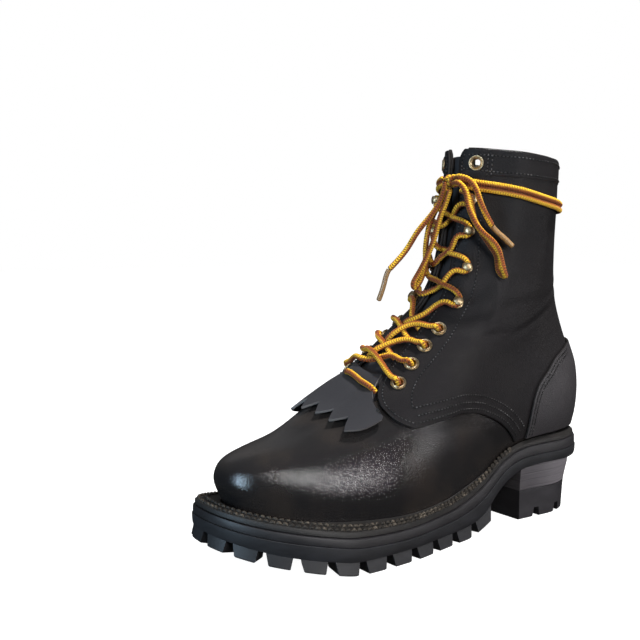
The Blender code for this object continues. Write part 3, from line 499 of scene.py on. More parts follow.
class Softened:
    """Eased curve through a table's values, blurred by a bell curve so that gloss shows no kinks."""

    def __init__(self, keys: Sequence[float], values: Sequence[float], blur: float) -> None:
        """Works out the curve once on a fine row of places.

        Args:
            keys: rising places of the values.
            values: the values at those places.
            blur: width of the bell curve, in the keys' own unit.
        """
        keys, values = np.asarray(keys, float), np.asarray(values, float)
        reach = 3 * blur
        self.at = np.linspace(keys[0] - reach, keys[-1] + reach, CURVE_SAMPLES)
        inside = np.clip(self.at, keys[0], keys[-1])
        rate = np.diff(values) / np.diff(keys)
        slope = np.where(self.at < keys[0], rate[0], rate[-1])
        raw = eased(keys, values, inside) + slope * (self.at - inside)
        step = self.at[1] - self.at[0]
        half = max(1, int(reach / step))
        bell = np.exp(-0.5 * (np.arange(-half, half + 1) * step / blur) ** 2)
        padded = np.pad(raw, half, mode="reflect", reflect_type="odd")
        self.values = np.convolve(padded, bell / bell.sum(), "valid")

    def __call__(self, at: Array | float) -> Array:
        """The curve's values at some places."""
        return np.interp(at, self.at, self.values)


def table_curve(rows: Sequence[NamedTuple], key: str, name: str, blur: float) -> Softened:
    """Softened curve of one column of a table along another."""
    return Softened(column(rows, key), column(rows, name), blur)


def rounded(distance: Array, reach: Array | float, power: float) -> Array:
    """Share of the full width at a distance from an end rounded as a superellipse."""
    share = np.clip(1 - distance / reach, 0, 1)
    return (1 - share**power) ** (1 / power)


def lengths(points: Array) -> Array:
    """Length along a line of points, at each of them."""
    return np.concatenate([[0], np.cumsum(np.linalg.norm(np.diff(points, axis=0), axis=1))])


def along_line(at: Array, reach: Array, data: Array) -> Array:
    """Rows of three numbers read at some lengths along their line."""
    return np.stack([np.interp(at, reach, data[:, k]) for k in range(3)], -1)


def angles(count: int) -> Array:
    """Even angles round a circle."""
    return 2 * math.pi * np.arange(count) / count


def splined(points: Array, spacing: float) -> Array:
    """Natural cubic spline through points by chord length, read at even spacing.

    Args:
        points: places that the curve passes through, one row each.
        spacing: distance between the points of the result.

    Returns:
        Points along the curve, ends included.
    """
    points = np.asarray(points, float)
    key = lengths(points)
    width, count = np.diff(key), len(points)
    system, right = np.eye(count), np.zeros_like(points)
    inner = np.arange(1, count - 1)
    system[inner, inner - 1] = width[:-1]
    system[inner, inner] = 2 * (width[:-1] + width[1:])
    system[inner, inner + 1] = width[1:]
    rate = np.diff(points, axis=0) / width[:, None]
    right[inner] = 6 * np.diff(rate, axis=0)
    bend = np.linalg.solve(system, right)
    fine = np.linspace(0, key[-1], 12 * count + 200)
    i = np.clip(np.searchsorted(key, fine, side="right") - 1, 0, count - 2)
    b = ((fine - key[i]) / width[i])[:, None]
    a, h = 1 - b, width[i][:, None]
    arch = ((a**3 - a) * bend[i] + (b**3 - b) * bend[i + 1]) * h**2 / 6
    line = a * points[i] + b * points[i + 1] + arch
    reach = lengths(line)
    return along_line(np.linspace(0, reach[-1], max(4, int(round(reach[-1] / spacing)) + 1)), reach, line)


class LastForm:
    """The boot's outer form over its last, as a function of turn and rise."""

    PLACES = ("heel", "waist", "ball", "toe")

    def __init__(self) -> None:
        """Reads the tables into softened curves."""
        self.columns = {name: table_curve(LAST, "rise", name, blur=0.022) for name in Section._fields[1:]}
        self.front, self.back = (table_curve(ENDS, "rise", name, blur=0.04) for name in ("front", "back"))
        self.feather = table_curve(SOLE, "x", "feather", blur=4.0)
        self.middle = table_curve(MIDDLE, "x", "last", blur=12.0)
        weights = np.pad(np.eye(len(self.PLACES)), ((0, 0), (1, 1)), mode="edge")
        self.shares = [Softened(WIDTH_STATIONS, row, blur=0.05) for row in weights]
        self.instep = table_curve(INSTEP, "rise", "lift", blur=0.02)
        self.edge, self.seam = (table_curve(rows, "rise", "turn", blur=0.012) for rows in (FACING, VAMP_SEAM))
        self.counter = table_curve(COUNTER_EDGE, "rise", "turn", blur=0.010)

    def point(self, turn: Array | float, rise: Array | float) -> Array:
        """Point of the form: an oval section with four half widths a side, its ends rounded.

        Args:
            turn: place round the boot.
            rise: place up the boot; past 0 and 1 the wall runs straight on.

        Returns:
            Points in millimetres, in the last axis.
        """
        turn, rise = np.broadcast_arrays(np.asarray(turn, float) % 1.0, np.asarray(rise, float))
        level = np.clip(rise, 0, 1)
        col = {name: curve(level) for name, curve in self.columns.items()}
        outer = turn <= 0.5
        along = (1 - np.cos(2 * math.pi * np.where(outer, turn, 1 - turn))) / 2
        share = [curve(along) for curve in self.shares]
        width = sum(
            share[k] * np.where(outer, col["out_" + place], col["in_" + place])
            for k, place in enumerate(self.PLACES)
        )
        width = width * rounded(along, self.back(level), END_POWER)
        width = width * rounded(1 - along, self.front(level), END_POWER)
        x = col["back_x"] + along * (col["front_x"] - col["back_x"])
        z = col["back_z"] + along * (col["front_z"] - col["back_z"])
        first = LAST[0]
        slope = (first.front_z - first.back_z) / (first.front_x - first.back_x)
        fade = smoothstep(0.0, 1.0, 1 - level / FEATHER_FADE)
        z = z + fade * (self.feather(x) - first.back_z - slope * (x - first.back_x))
        z = z + RISE_BELOW * np.minimum(rise, 0) + RISE_ABOVE * np.maximum(rise - 1, 0)
        y = self.middle(x) + np.where(outer, width, -width)
        return np.stack([x, y, z], -1)

    def facing(self, rise: Array | float) -> Array:
        """Turn of the facing's edge, its top corner rounded as a quarter of an ellipse."""
        share = np.clip((np.asarray(rise, float) - CORNER_RISE) / CORNER_REACH, 0, 1)
        return self.edge(rise) - CORNER_REACH * (1 - np.sqrt(1 - share**2))

    def hem(self, ahead: Array) -> Array:
        """Rise of the quarter's lower edge: a parabola from the vamp seam, level at the facing's foot."""
        return SEAM_TOP + (FACING_FOOT - SEAM_TOP) * (1 - (1 - ahead) ** 2)

    def normal(self, turn: Array | float, rise: Array | float) -> Array:
        """Outward unit normal of the form, from short steps either way.

        Args:
            turn: places round the boot.
            rise: places up the boot.

        Returns:
            Unit vectors, in the last axis.
        """
        across = self.point(turn + STEP, rise) - self.point(turn - STEP, rise)
        up = self.point(turn, rise + STEP) - self.point(turn, rise - STEP)
        return unit(np.cross(up, across))

    def relief(self, turn: Array, rise: Array) -> Array:
        """Height of the instep's ridge and the creases.

        Args:
            turn: places round the boot.
            rise: places up the boot.

        Returns:
            A ridge that rises past the front line and fades on the inner side, and for each crease a trough
            as a bell across its line with a lower ridge beside it.
        """
        around = np.asarray(turn) % 1.0
        total = self.instep(rise) * smoothstep(*RIDGE_STARTS, around) * (1 - smoothstep(*RIDGE_FADES, around))
        for crease in CREASES:
            a = (around - crease.turn) * TURN_MM
            b = (rise - crease.rise) * RISE_MM - crease.slant * a
            fade = np.exp(-((a / crease.length) ** 2))
            trough = np.exp(-((b / crease.width) ** 2))
            ridge = CREASE_RIDGE * np.exp(-(((b - CREASE_GAP * crease.width) / crease.width) ** 2))
            total = total + crease.depth * fade * (ridge - trough)
        return total

    def surface(self, turn: Array | float, rise: Array | float, lift: Array | float = 0.0) -> Array:
        """Point of the form moved out along its normal by a lift and the relief.

        Args:
            turn: places round the boot.
            rise: places up the boot.
            lift: distances off the form.

        Returns:
            Points in millimetres, in the last axis.
        """
        turn, rise, lift = np.broadcast_arrays(*(np.asarray(v, float) for v in (turn, rise, lift)))
        out = lift + self.relief(turn, rise)
        return self.point(turn, rise) + out[..., None] * self.normal(turn, rise)

    def stepped(self, turn: Array, rise: Array, along: Array, distance: float) -> tuple[Array, Array]:
        """Moves places over the form, square to a line, by a distance.

        Args:
            turn: turns of the line's points.
            rise: rises of the line's points.
            along: the line's direction in space at those points.
            distance: how far to move, to the right of the line seen from outside.

        Returns:
            The new turns and rises.
        """
        steps = 4
        for _ in range(steps):
            d_turn = (self.point(turn + STEP, rise) - self.point(turn - STEP, rise)) / (2 * STEP)
            d_rise = (self.point(turn, rise + STEP) - self.point(turn, rise - STEP)) / (2 * STEP)
            aside = unit(np.cross(along, self.normal(turn, rise))) * distance / steps
            a, b, c = (np.sum(p * q, -1) for p, q in ((d_turn, d_turn), (d_turn, d_rise), (d_rise, d_rise)))
            p, q = np.sum(d_turn * aside, -1), np.sum(d_rise * aside, -1)
            det = a * c - b * b
            turn, rise = turn + (c * p - b * q) / det, rise + (a * q - b * p) / det
        return turn, rise

    def place(self, spot: Hang | Air) -> Array:
        """Point of a lace's place on the form or in the air."""
        return np.array(spot, float) if isinstance(spot, Air) else self.surface(*spot)

    def seat(self, turn: float, rise: float, lift: float) -> tuple[Array, Array]:
        """Seat of a fitting on the form.

        Args:
            turn: its place round the boot.
            rise: its place up the boot.
            lift: its distance off the form.

        Returns:
            Its origin, and its axes as rows: aside, up the boot and outwards.
        """
        across = self.surface(turn + STEP, rise, lift) - self.surface(turn - STEP, rise, lift)
        up = unit(self.surface(turn, rise + 2 * STEP, lift) - self.surface(turn, rise - 2 * STEP, lift))
        out = unit(np.cross(up, across))
        return self.surface(turn, rise, lift), np.stack([np.cross(up, out), up, out])


class SoleShape:
    """Outline and layers of the sole; its ends are rounded by a reach and a power."""

    HEEL_END: Pair = (46.0, 2.2)
    OUTER_TOE: Pair = (80.0, 2.2)
    INNER_TOE: Pair = (60.0, 2.9)

    def __init__(self) -> None:
        """Reads the tables into softened curves."""
        self.columns = {name: table_curve(SOLE, "x", name, blur=3.0) for name in Sole._fields[1:]}
        self.middle = table_curve(MIDDLE, "x", "sole", blur=8.0)

    def z(self, level: str, x: Array) -> Array:
        """Height of a layer at a length."""
        return self.columns[level](x)

    def plan(self, turn: Array) -> Array:
        """Point of the outline on the ground: two edges about a middle line, with rounded ends.

        Args:
            turn: places round the outline, from the back past the outer side.

        Returns:
            Points of the plan in millimetres, in the last axis.
        """
        turn = np.asarray(turn, float) % 1.0
        outer = turn <= 0.5
        x = -HALF_LENGTH * np.cos(2 * math.pi * turn)
        middle = self.middle(x)
        back, left = rounded(x + HALF_LENGTH, *self.HEEL_END), HALF_LENGTH - x
        toe = np.where(outer, rounded(left, *self.OUTER_TOE), rounded(left, *self.INNER_TOE))
        edge = np.where(outer, self.z("outer", x), self.z("inner", x))
        return np.stack([x, middle + (edge - middle) * back * toe], -1)

    def edge(self, turn: Array, inset: float = 0.0) -> Array:
        """Point of the outline drawn in by an inset, square to it."""
        along = self.plan(turn + STEP / 3) - self.plan(turn - STEP / 3)
        return self.plan(turn) + inset * unit(np.stack([along[..., 1], -along[..., 0]], -1))

    def at(self, xy: Array, level: str, change: float = 0.0) -> Array:
        """Points of a layer above points of the plan."""
        return np.concatenate([xy, (self.z(level, xy[..., 0]) + change)[..., None]], -1)


def welt_edges(form: LastForm, sole: SoleShape, turns: Array) -> tuple[Array, Array]:
    """Outer and inner edge of the welt in the plan."""
    return sole.edge(turns, WELT_INSET), form.surface(turns, 0.0, WELT_LIFT)[..., :2]


# Meshes
def grid_faces(rows: int, cols: int, ring: bool = False, keep: Array | None = None) -> Array:
    """Quads of a grid of points in rows.

    Args:
        rows: number of rows.
        cols: number of columns.
        ring: whether the last column joins the first.
        keep: which quads to keep, by row and column.

    Returns:
        Four point numbers a quad.
    """
    last = cols if ring else cols - 1
    r, c = np.meshgrid(np.arange(rows - 1), np.arange(last), indexing="ij")
    d = (c + 1) % cols
    quads = np.stack([r * cols + c, r * cols + d, (r + 1) * cols + d, (r + 1) * cols + c], -1)
    return quads.reshape(-1, 4) if keep is None else quads[keep]


def cap_faces(count: int, base: int) -> list[list[int]]:
    """Strips that close a ring whose points run from one tip round to the other and back.

    Args:
        count: number of points of the ring.
        base: number of its first point.

    Returns:
        Four or three point numbers a strip.
    """
    k = np.arange(count // 2)
    quads = np.stack([k, k + 1, (count - k - 1) % count, (count - k) % count], -1)
    return [[base + int(v) for v in dict.fromkeys(q)] for q in quads.tolist()]


def make_object(
    name: str, points: Array, faces: Faces, sharp: float = SMOOTH_ANGLE, closed: bool = False,
) -> Piece:
    """Mesh object at the origin, shaded smooth up to an angle.

    Args:
        name: the piece's name.
        points: points in millimetres.
        faces: point numbers of each face.
        sharp: angle in degrees from which an edge stays sharp.
        closed: whether it is made of closed bodies, whose faces are then turned outwards.

    Returns:
        The new object, with points that no face uses left out.
    """
    points = np.asarray(points, float).reshape(-1, 3)
    flat = faces.tolist() if isinstance(faces, np.ndarray) else [list(f) for f in faces]
    used = np.zeros(len(points), bool)
    used[np.fromiter((v for f in flat for v in f), int)] = True
    index = np.cumsum(used) - 1
    mesh = bpy.data.meshes.new(name + "_skin")
    mesh.from_pydata((points[used] * MM).tolist(), [], [[int(index[v]) for v in f] for f in flat])
    obj = bpy.data.objects.new(mesh.name, mesh)
    bpy.context.scene.collection.objects.link(obj)
    if closed:
        point_out(mesh)
    shade(obj, sharp)
    return obj


def shade(obj: Piece, sharp: float = SMOOTH_ANGLE) -> None:
    """Smooth shading with sharp edges past an angle in degrees."""
    obj.data.shade_smooth()
    obj.data.set_sharp_from_angle(angle=math.radians(sharp))


def point_out(mesh: bpy.types.Mesh) -> None:
    """Turns the faces of a closed mesh outwards, with doubled points merged first.

    Args:
        mesh: the mesh, which is changed.
    """
    work = bmesh.new()
    work.from_mesh(mesh)
    bmesh.ops.remove_doubles(work, verts=work.verts, dist=1e-6)
    bmesh.ops.recalc_face_normals(work, faces=work.faces)
    work.to_mesh(mesh)
    work.free()


def joined(blocks: Sequence[tuple[Array, Faces]]) -> tuple[Array, list[list[int]]]:
    """Several blocks as one.

    Args:
        blocks: points and faces of each.

    Returns:
        All the points, and all the faces with their point numbers moved on.
    """
    points, faces, base = [], [], 0
    for block, numbers in blocks:
        points.append(block.reshape(-1, 3))
        if isinstance(numbers, np.ndarray):
            faces += (numbers + base).tolist()
        else:
            faces += [[base + v for v in face] for face in numbers]
        base += len(points[-1])
    return np.concatenate(points), faces


def tube_faces(rings: int, around: int) -> list[list[int]]:
    """Quads between rings of points, and a face over each end."""
    last = (rings - 1) * around
    return grid_faces(rings, around, True).tolist() + [list(range(around)), list(range(last, last + around))]


def ring_solid(name: str, rings: Sequence[Array]) -> Piece:
    """Solid through a stack of rings.

    Args:
        name: the piece's name.
        rings: points of each ring, as many in each, run from one tip round to the other and back.

    Returns:
        The new object, closed by strips at both ends.
    """
    count = len(rings[0])
    faces = grid_faces(len(rings), count, True).tolist()
    faces += cap_faces(count, 0) + cap_faces(count, (len(rings) - 1) * count)
    return make_object(name, np.concatenate(rings), faces, closed=True)


def freeze(obj: Piece, sharp: float = SMOOTH_ANGLE) -> None:
    """Replaces an object's mesh by what its modifiers make of it.

    Args:
        obj: the object.
        sharp: angle in degrees from which an edge stays sharp.
    """
    bpy.context.view_layer.update()
    graph = bpy.context.evaluated_depsgraph_get()
    mesh = bpy.data.meshes.new_from_object(obj.evaluated_get(graph))
    old = obj.data
    obj.modifiers.clear()
    obj.data = mesh
    mesh.name = obj.name
    bpy.data.meshes.remove(old)
    shade(obj, sharp)


def combine(obj: Piece, other: Piece, operation: str) -> None:
    """Cuts with, or joins, another closed mesh, which is then removed.

    Args:
        obj: the piece that is changed.
        other: the mesh that cuts it or is joined to it.
        operation: the Boolean modifier's own word for it.
    """
    step = obj.modifiers.new("combine", "BOOLEAN")
    step.operation = operation
    step.solver = "EXACT"
    step.object = other
    freeze(obj)
    bpy.data.objects.remove(other, do_unlink=True)


def leather_sheet(
    name: str, grid: Array, thickness: float, edge: float = 0.45, ring: bool = False,
    keep: Array | None = None, even: bool = True,
) -> Piece:
    """Sheet with a wall: a grid of outer points in rows up the boot, thickened inwards, its rims rounded.

    Args:
        name: the piece's name.
        grid: outer points, by row and column; columns run with the turn.
        thickness: the leather's thickness.
        edge: width of the rounded rim.
        ring: whether the last column joins the first.
        keep: which quads exist.
        even: whether the wall keeps its thickness at sharp bends.

    Returns:
        The sheet, with material slots 0 outside, 1 inside and 2 on the rims.
    """
    rows, cols = grid.shape[:2]
    obj = make_object(name, grid, grid_faces(rows, cols, ring, keep)[:, ::-1])
    wall = obj.modifiers.new("wall", "SOLIDIFY")
    wall.thickness = thickness * MM
    wall.offset = -1.0
    wall.use_even_offset = even
    wall.material_offset, wall.material_offset_rim = 1, 2
    for _ in range(3):
        obj.data.materials.append(None)
    round_rim = obj.modifiers.new("rim", "BEVEL")
    round_rim.width = edge * MM
    round_rim.segments = 3
    round_rim.limit_method = "ANGLE"
    rim_angle = 50.0
    round_rim.angle_limit = math.radians(rim_angle)
    freeze(obj, rim_angle)
    return obj


def cut_eyelets(obj: Piece, form: LastForm, sides: Sequence[Side]) -> None:
    """Cuts the eyelet holes through a sheet, with round rods square to the form.

    Args:
        obj: the sheet.
        form: the boot's form.
        sides: the sides of the boot that the sheet lies on.
    """
    count, radius, half = 24, 3.3, 9.0
    angle = angles(count)[:, None]
    faces = grid_faces(2, count, True).tolist()
    faces += [list(range(count))[::-1], list(range(count, 2 * count))]
    rods = []
    for turn, rise in ((side.turn(spot.turn), spot.rise) for side in sides for spot in EYELETS):
        origin, axes = form.seat(turn, rise, 0.0)
        circle = radius * (np.cos(angle) * axes[0] + np.sin(angle) * axes[1])
        rods.append((np.stack([origin + circle - half * axes[2], origin + circle + half * axes[2]]), faces))
    combine(obj, make_object("rods", *joined(rods)), "DIFFERENCE")


def tube_grid(path: Array, radius: Array, outward: Array, around: int) -> Array:
    """Circles carried along a path, with their first point turned to an outward direction.

    Args:
        path: points of the middle line.
        radius: radius by point and angle, or one column of it.
        outward: a direction at each point that isn't along the path.
        around: points round the circle.

    Returns:
        Points by place along the path and place round it; the last column repeats the first.
    """
    tangent = unit(np.gradient(path, axis=0))
    side = unit(np.cross(tangent, outward))
    up = np.cross(side, tangent)
    angle = 2 * math.pi * np.arange(around + 1) / around
    ring = np.cos(angle)[None, :, None] * up[:, None] + np.sin(angle)[None, :, None] * side[:, None]
    return path[:, None] + radius[..., None] * ring


def set_uv(obj: Piece, uv: Array) -> None:
    """Gives a mesh a UV map.

    Args:
        obj: the piece.
        uv: a pair of numbers for each of its points.
    """
    layer = obj.data.uv_layers.new(name="UVMap")
    corners = np.zeros(len(obj.data.loops), int)
    obj.data.loops.foreach_get("vertex_index", corners)
    layer.data.foreach_set("uv", uv.reshape(-1, 2)[corners].astype(np.float32).ravel())


def turned(profile: Array, origin: Array, axes: Array, count: int) -> tuple[Array, Array]:
    """Turned shape: a profile of radius and height spun about a fitting's outward axis.

    Args:
        profile: radius and height of each point.
        origin: the fitting's origin.
        axes: its three axes, one a row.
        count: points round the axis.

    Returns:
        Points, by profile point and angle, and the quads between them.
    """
    angle = angles(count)
    r, z = profile[:, :1], profile[:, 1:]
    local = np.stack([r * np.cos(angle), r * np.sin(angle), np.broadcast_to(z, (len(profile), count))], -1)
    return origin + local @ axes, grid_faces(len(profile), count, True)


# Shader maths
class Sock:
    """A shader socket with Python arithmetic: each operation adds a Math node."""

    def __init__(self, paint: Nodes, socket: bpy.types.NodeSocket) -> None:
        """Wraps a socket of a tree that is being made."""
        self.paint, self.socket = paint, socket

    def math(self, operation: str, *others: Sock | float) -> Sock:
        """Result of a Math node on this value and others."""
        return self.paint.node("Math", {"operation": operation}, dict(enumerate((self, *others))))

    def __add__(self, other: Sock | float) -> Sock:
        """Sum."""
        return self.math("ADD", other)

    __radd__ = __add__

    def __mul__(self, other: Sock | float) -> Sock:
        """Product."""
        return self.math("MULTIPLY", other)

    __rmul__ = __mul__

    def __sub__(self, other: Sock | float) -> Sock:
        """Difference."""
        return self.math("SUBTRACT", other)

    def __rsub__(self, other: float) -> Sock:
        """Difference from a number."""
        return self * -1.0 + other

    def __truediv__(self, other: Sock | float) -> Sock:
        """Quotient."""
        return self.math("DIVIDE", other)

    def __abs__(self) -> Sock:
        """Size without sign."""
        return self.math("ABSOLUTE")

    def sin(self) -> Sock:
        """Sine."""
        return self.math("SINE")

    def ramp(self, low: float, high: float) -> Sock:
        """Smooth share from 0 at low to 1 at high."""
        settings = {"interpolation_type": "SMOOTHSTEP"}
        return self.paint.node("MapRange", settings, {0: self, 1: low, 2: high, 3: 0.0, 4: 1.0})


class Nodes:
    """A node tree under construction."""

    def __init__(self, tree: bpy.types.NodeTree) -> None:
        """Takes up a tree."""
        self.tree = tree

    def node(self, kind: str, settings: dict[str, Any] | None = None, inputs: dict[Any, Any] | None = None,
             output: int | str = 0) -> Sock:
        """Adds a node.

        Args:
            kind: the node's type without its prefix.
            settings: attributes, set first.
            inputs: values or sockets by input name or number.
            output: which output to return.

        Returns:
            The node's output.
        """
        made = self.tree.nodes.new("ShaderNode" + kind)
        for name, value in (settings or {}).items():
            setattr(made, name, value)
        for name, value in (inputs or {}).items():
            self.feed(made.inputs[name], value)
        return Sock(self, made.outputs[output])

    def feed(self, socket: bpy.types.NodeSocket, value: Any) -> None:
        """Links a socket, or sets its own value.

        Args:
            socket: an input.
            value: a wrapped output, a number, a vector or a colour of three numbers.
        """
        if isinstance(value, Sock):
            self.tree.links.new(value.socket, socket)
        elif isinstance(value, tuple) and len(value) == 3 and socket.type == "RGBA":
            socket.default_value = (*value, 1.0)
        else:
            socket.default_value = value

    def axis(self, where: Sock, index: int) -> Sock:
        """One of a vector's three numbers."""
        return self.node("SeparateXYZ", {}, {0: where}, index)


class Paint(Nodes):
    """A material under construction: a Principled shader and the nodes that feed it."""

    def __init__(self, name: str) -> None:
        """Starts a new material of a name."""
        self.material = bpy.data.materials.new(name)
        self.material.use_nodes = True
        super().__init__(self.material.node_tree)
        self.shader = self.tree.nodes["Principled BSDF"]

    def set(self, **inputs: Any) -> None:
        """Feeds the shader; underscores in a name stand for spaces."""
        for name, value in inputs.items():
            self.feed(self.shader.inputs[name.replace("_", " ")], value)

    def place(self) -> Sock:
        """Place on the piece, in metres of the boot's own frame."""
        return self.node("TexCoord", output="Object")

    def noise(self, where: Sock, scale: float, detail: float = 3.0, rough: float = 0.55) -> Sock:
        """Soft noise from 0 to 1; scale is in turns a metre."""
        inputs = {"Vector": where, "Scale": scale, "Detail": detail, "Roughness": rough}
        return self.node("TexNoise", {}, inputs)

    def cells(self, where: Sock, scale: float, smooth: float = 0.6) -> Sock:
        """Distance to the nearest of scattered points, rounded at the joints."""
        settings = {"feature": "SMOOTH_F1"}
        return self.node("TexVoronoi", settings, {"Vector": where, "Scale": scale, "Smoothness": smooth})

    def mix(self, share: Sock | float, low: Sock | Colour, high: Sock | Colour) -> Sock:
        """Colour between two colours; 6, 7 and 2 are the Mix node's own numbers for colour sockets."""
        return self.node("Mix", {"data_type": "RGBA"}, {0: share, 6: low, 7: high}, 2)

    def bump(self, height: Sock, depth: float, strength: float = 1.0) -> None:
        """Feeds the normal from a height of 0 to 1; depth is in millimetres."""
        inputs = {"Height": height, "Distance": depth * MM, "Strength": strength}
        self.set(Normal=self.node("Bump", {}, inputs))


@dataclass(frozen=True)
class Leather:
    """Waxed leather: dark colour with a warmer tint in patches, pebbled grain and satin gloss."""

    name: str
    colour: Colour = (0.012, 0.0112, 0.0115)
    tint: Colour = (0.0205, 0.0170, 0.0152)
    roughness: float = 0.42
    spread: float = 0.10
    grain: float = 1000.0
    depth: float = 0.10
    shine: float = 0.5
    front: float = 0.0

    def material(self) -> Material:
        """Colour by broad noise, grain by cells and fine noise, gloss by both and more of it at the front.

        Returns:
            The material.
        """
        paint = Paint(self.name)
        where = paint.place()
        broad = paint.noise(where, 28.0, 4.0)
        pebble = paint.cells(where, self.grain)
        fine = paint.noise(where, 2.6 * self.grain, 2.0)
        paint.set(Base_Color=paint.mix(broad.ramp(0.42, 0.72), self.colour, self.tint))
        ahead = paint.axis(where, 0).ramp(-0.055, 0.015)
        rough = (broad - 0.5) * self.spread + pebble * 0.10 + (self.roughness - 0.05)
        paint.set(Roughness=rough - ahead * self.front if self.front else rough)
        paint.set(Specular_IOR_Level=self.shine)
        paint.bump(pebble * 0.8 + fine * 0.25 + broad * 0.6, self.depth)
        return paint.material


@dataclass(frozen=True)
class RawEdge:
    """Cut edge or flesh side of leather: fibrous and dull."""

    name: str
    colour: Colour
    dark: Colour
    roughness: float = 0.8
    fibre: float = 1500.0
    depth: float = 0.15

    def material(self) -> Material:
        """Colour and bump by fine fibre noise.

        Returns:
            The material.
        """
        paint = Paint(self.name)
        where = paint.place()
        fibre = paint.noise(where, self.fibre, 5.0, 0.7)
        patch = paint.noise(where, 60.0, 3.0)
        paint.set(Base_Color=paint.mix((fibre * 0.6 + patch * 0.4).ramp(0.3, 0.7), self.dark, self.colour))
        paint.set(Roughness=self.roughness)
        paint.bump(fibre, self.depth)
        return paint.material


@dataclass(frozen=True)
class Rubber:
    """Moulded rubber: matte, with a faint bloom and fine pores."""

    name: str
    colour: Colour = (0.0100, 0.0101, 0.0116)
    bloom: Colour = (0.0155, 0.0158, 0.0185)
    roughness: float = 0.55

    def material(self) -> Material:
        """Colour by streaky noise along the ground, bump by pores.

        Returns:
            The material.
        """
        paint = Paint(self.name)
        where = paint.place()
        stretched = paint.node("Mapping", {}, {"Vector": where, "Scale": (1.0, 1.0, 3.0)})
        broad = paint.noise(stretched, 55.0, 4.0)
        pores = paint.noise(where, 1800.0, 3.0, 0.6)
        paint.set(Base_Color=paint.mix(broad.ramp(0.35, 0.75), self.colour, self.bloom))
        paint.set(Roughness=broad * 0.18 + pores * 0.08 + (self.roughness - 0.13))
        paint.bump(pores * 0.5 + broad * 0.5, 0.08)
        return paint.material


@dataclass(frozen=True)
class StackedLeather:
    """Edge of a stack of leather: thin layers lying flat, burnished, with a painted sheen and painted shade.
    """

    name: str
    # the pale colour is partly the leather's grey and partly a painted sheen
    colour: Colour = (0.262, 0.244, 0.264)
    line: Colour = (0.028, 0.026, 0.0285)
    layer: float = 5.0
    roughness: float = 0.42
    # painted light: paler at the back, with painted shade deepening towards the breast
    worn_x: float = -146.0
    breast_x: float = -84.0

    def material(self) -> Material:
        """Lines at even heights, wavering with noise; painted shade darkens the pale colour towards the
        breast.

        Returns:
            The material.
        """
        paint = Paint(self.name)
        where = paint.place()
        waver = paint.noise(where, 35.0, 3.0)
        stretched = paint.node("Mapping", {}, {"Vector": where, "Scale": (1.0, 1.0, 14.0)})
        streak = paint.noise(stretched, 60.0, 4.0)
        height = paint.axis(where, 2) / (self.layer * MM) + waver * 0.25
        seam = abs(height.math("FRACT") - 0.5).ramp(0.40, 0.49)
        # painted shade: the colour darkens from the back towards the breast, for how the light falls on the
        # heel
        front = paint.axis(where, 0).ramp(self.worn_x * MM, self.breast_x * MM)
        shade = seam * 0.12 + streak * 0.30 + front * 0.62
        paint.set(Base_Color=paint.mix(shade, self.colour, self.line))
        paint.set(Roughness=streak * 0.2 + (self.roughness - 0.1))
        paint.bump((1 - seam) * 0.7 + streak * 0.3, 0.12)
        return paint.material


@dataclass(frozen=True)
class Brass:
    """Aged brass: bright where rubbed, browned in the hollows."""

    name: str
    bright: Colour = (0.72, 0.58, 0.37)
    dull: Colour = (0.40, 0.29, 0.16)
    roughness: float = 0.42

    def material(self) -> Material:
        """Colour and gloss by patchy noise.

        Returns:
            The material.
        """
        paint = Paint(self.name)
        where = paint.place()
        patch = paint.noise(where, 420.0, 4.0, 0.65)
        scratch = paint.noise(where, 2400.0, 2.0)
        paint.set(Base_Color=paint.mix(patch.ramp(0.36, 0.66), self.dull, self.bright), Metallic=1.0)
        paint.set(Roughness=patch * -0.18 + scratch * 0.12 + (self.roughness + 0.06))
        paint.bump(scratch, 0.02)
        return paint.material


@dataclass(frozen=True)
class Braid:
    """Braided two-tone cord: two gold and two rust bands round it, with chevron ribs and painted shade in
    their grooves.
    """

    name: str
    gold: Colour = (0.76, 0.455, 0.020)
    rust: Colour = (0.265, 0.060, 0.007)
    pitch: float = 1.7
    slope: float = 0.8

    def material(self) -> Material:
        """Reads the cord's own map: across is the share round it and along is its length in millimetres.

        Returns:
            The material.
        """
        paint = Paint(self.name)
        place = paint.node("UVMap", {"uv_map": "UVMap"})
        across, along = (paint.axis(place, 0) * 2.0).math("FRACT"), paint.axis(place, 1)
        fold = abs(across * 2.0 - 1.0)
        phase = along / self.pitch + fold * self.slope
        rib = (phase * (2 * math.pi)).sin() * 0.5 + 0.5
        fleck = paint.noise(paint.place(), 1500.0, 2.0)
        share = (fold + (rib - 0.5) * 0.42 + (fleck - 0.5) * 0.20).ramp(0.50, 0.60)
        colour = paint.mix(share, self.gold, self.rust)
        # painted shade: the grooves between the ribs are darkened towards deep brown
        groove = (1 - rib).ramp(0.46, 0.86) * 0.94
        dark = paint.mix(share, (0.22, 0.075, 0.006), (0.045, 0.010, 0.003))
        paint.set(Base_Color=paint.mix(groove, colour, dark))
        paint.set(Roughness=fleck * 0.2 + 0.62)
        paint.set(Sheen_Weight=0.06)
        paint.bump(rib * 0.8 + fleck * 0.4, 0.22)
        return paint.material


@dataclass(frozen=True)
class Thread:
    """Waxed sewing thread: two plies laid at a slant, dark, with painted glints in a lighter colour."""

    name: str
    colour: Colour = (0.115, 0.112, 0.112)
    dark: Colour = (0.028, 0.027, 0.028)
    scale: float = 2200.0
    start: float = 0.32

    def material(self) -> Material:
        """Colour by fine noise: above a start value the thread shows its light colour, partly its grey,
        partly painted glints.

        Returns:
            The material.
        """
        paint = Paint(self.name)
        where = paint.place()
        ply = paint.noise(where, self.scale, 3.0, 0.7)
        patch = paint.noise(where, 140.0, 2.0)
        # painted highlight: past the start value the light colour stands partly for glints on the thread
        share = (ply * 0.6 + patch * 0.5).ramp(self.start, self.start + 0.4)
        paint.set(Base_Color=paint.mix(share, self.dark, self.colour))
        paint.set(Roughness=0.7)
        paint.bump(ply, 0.08)
        return paint.material


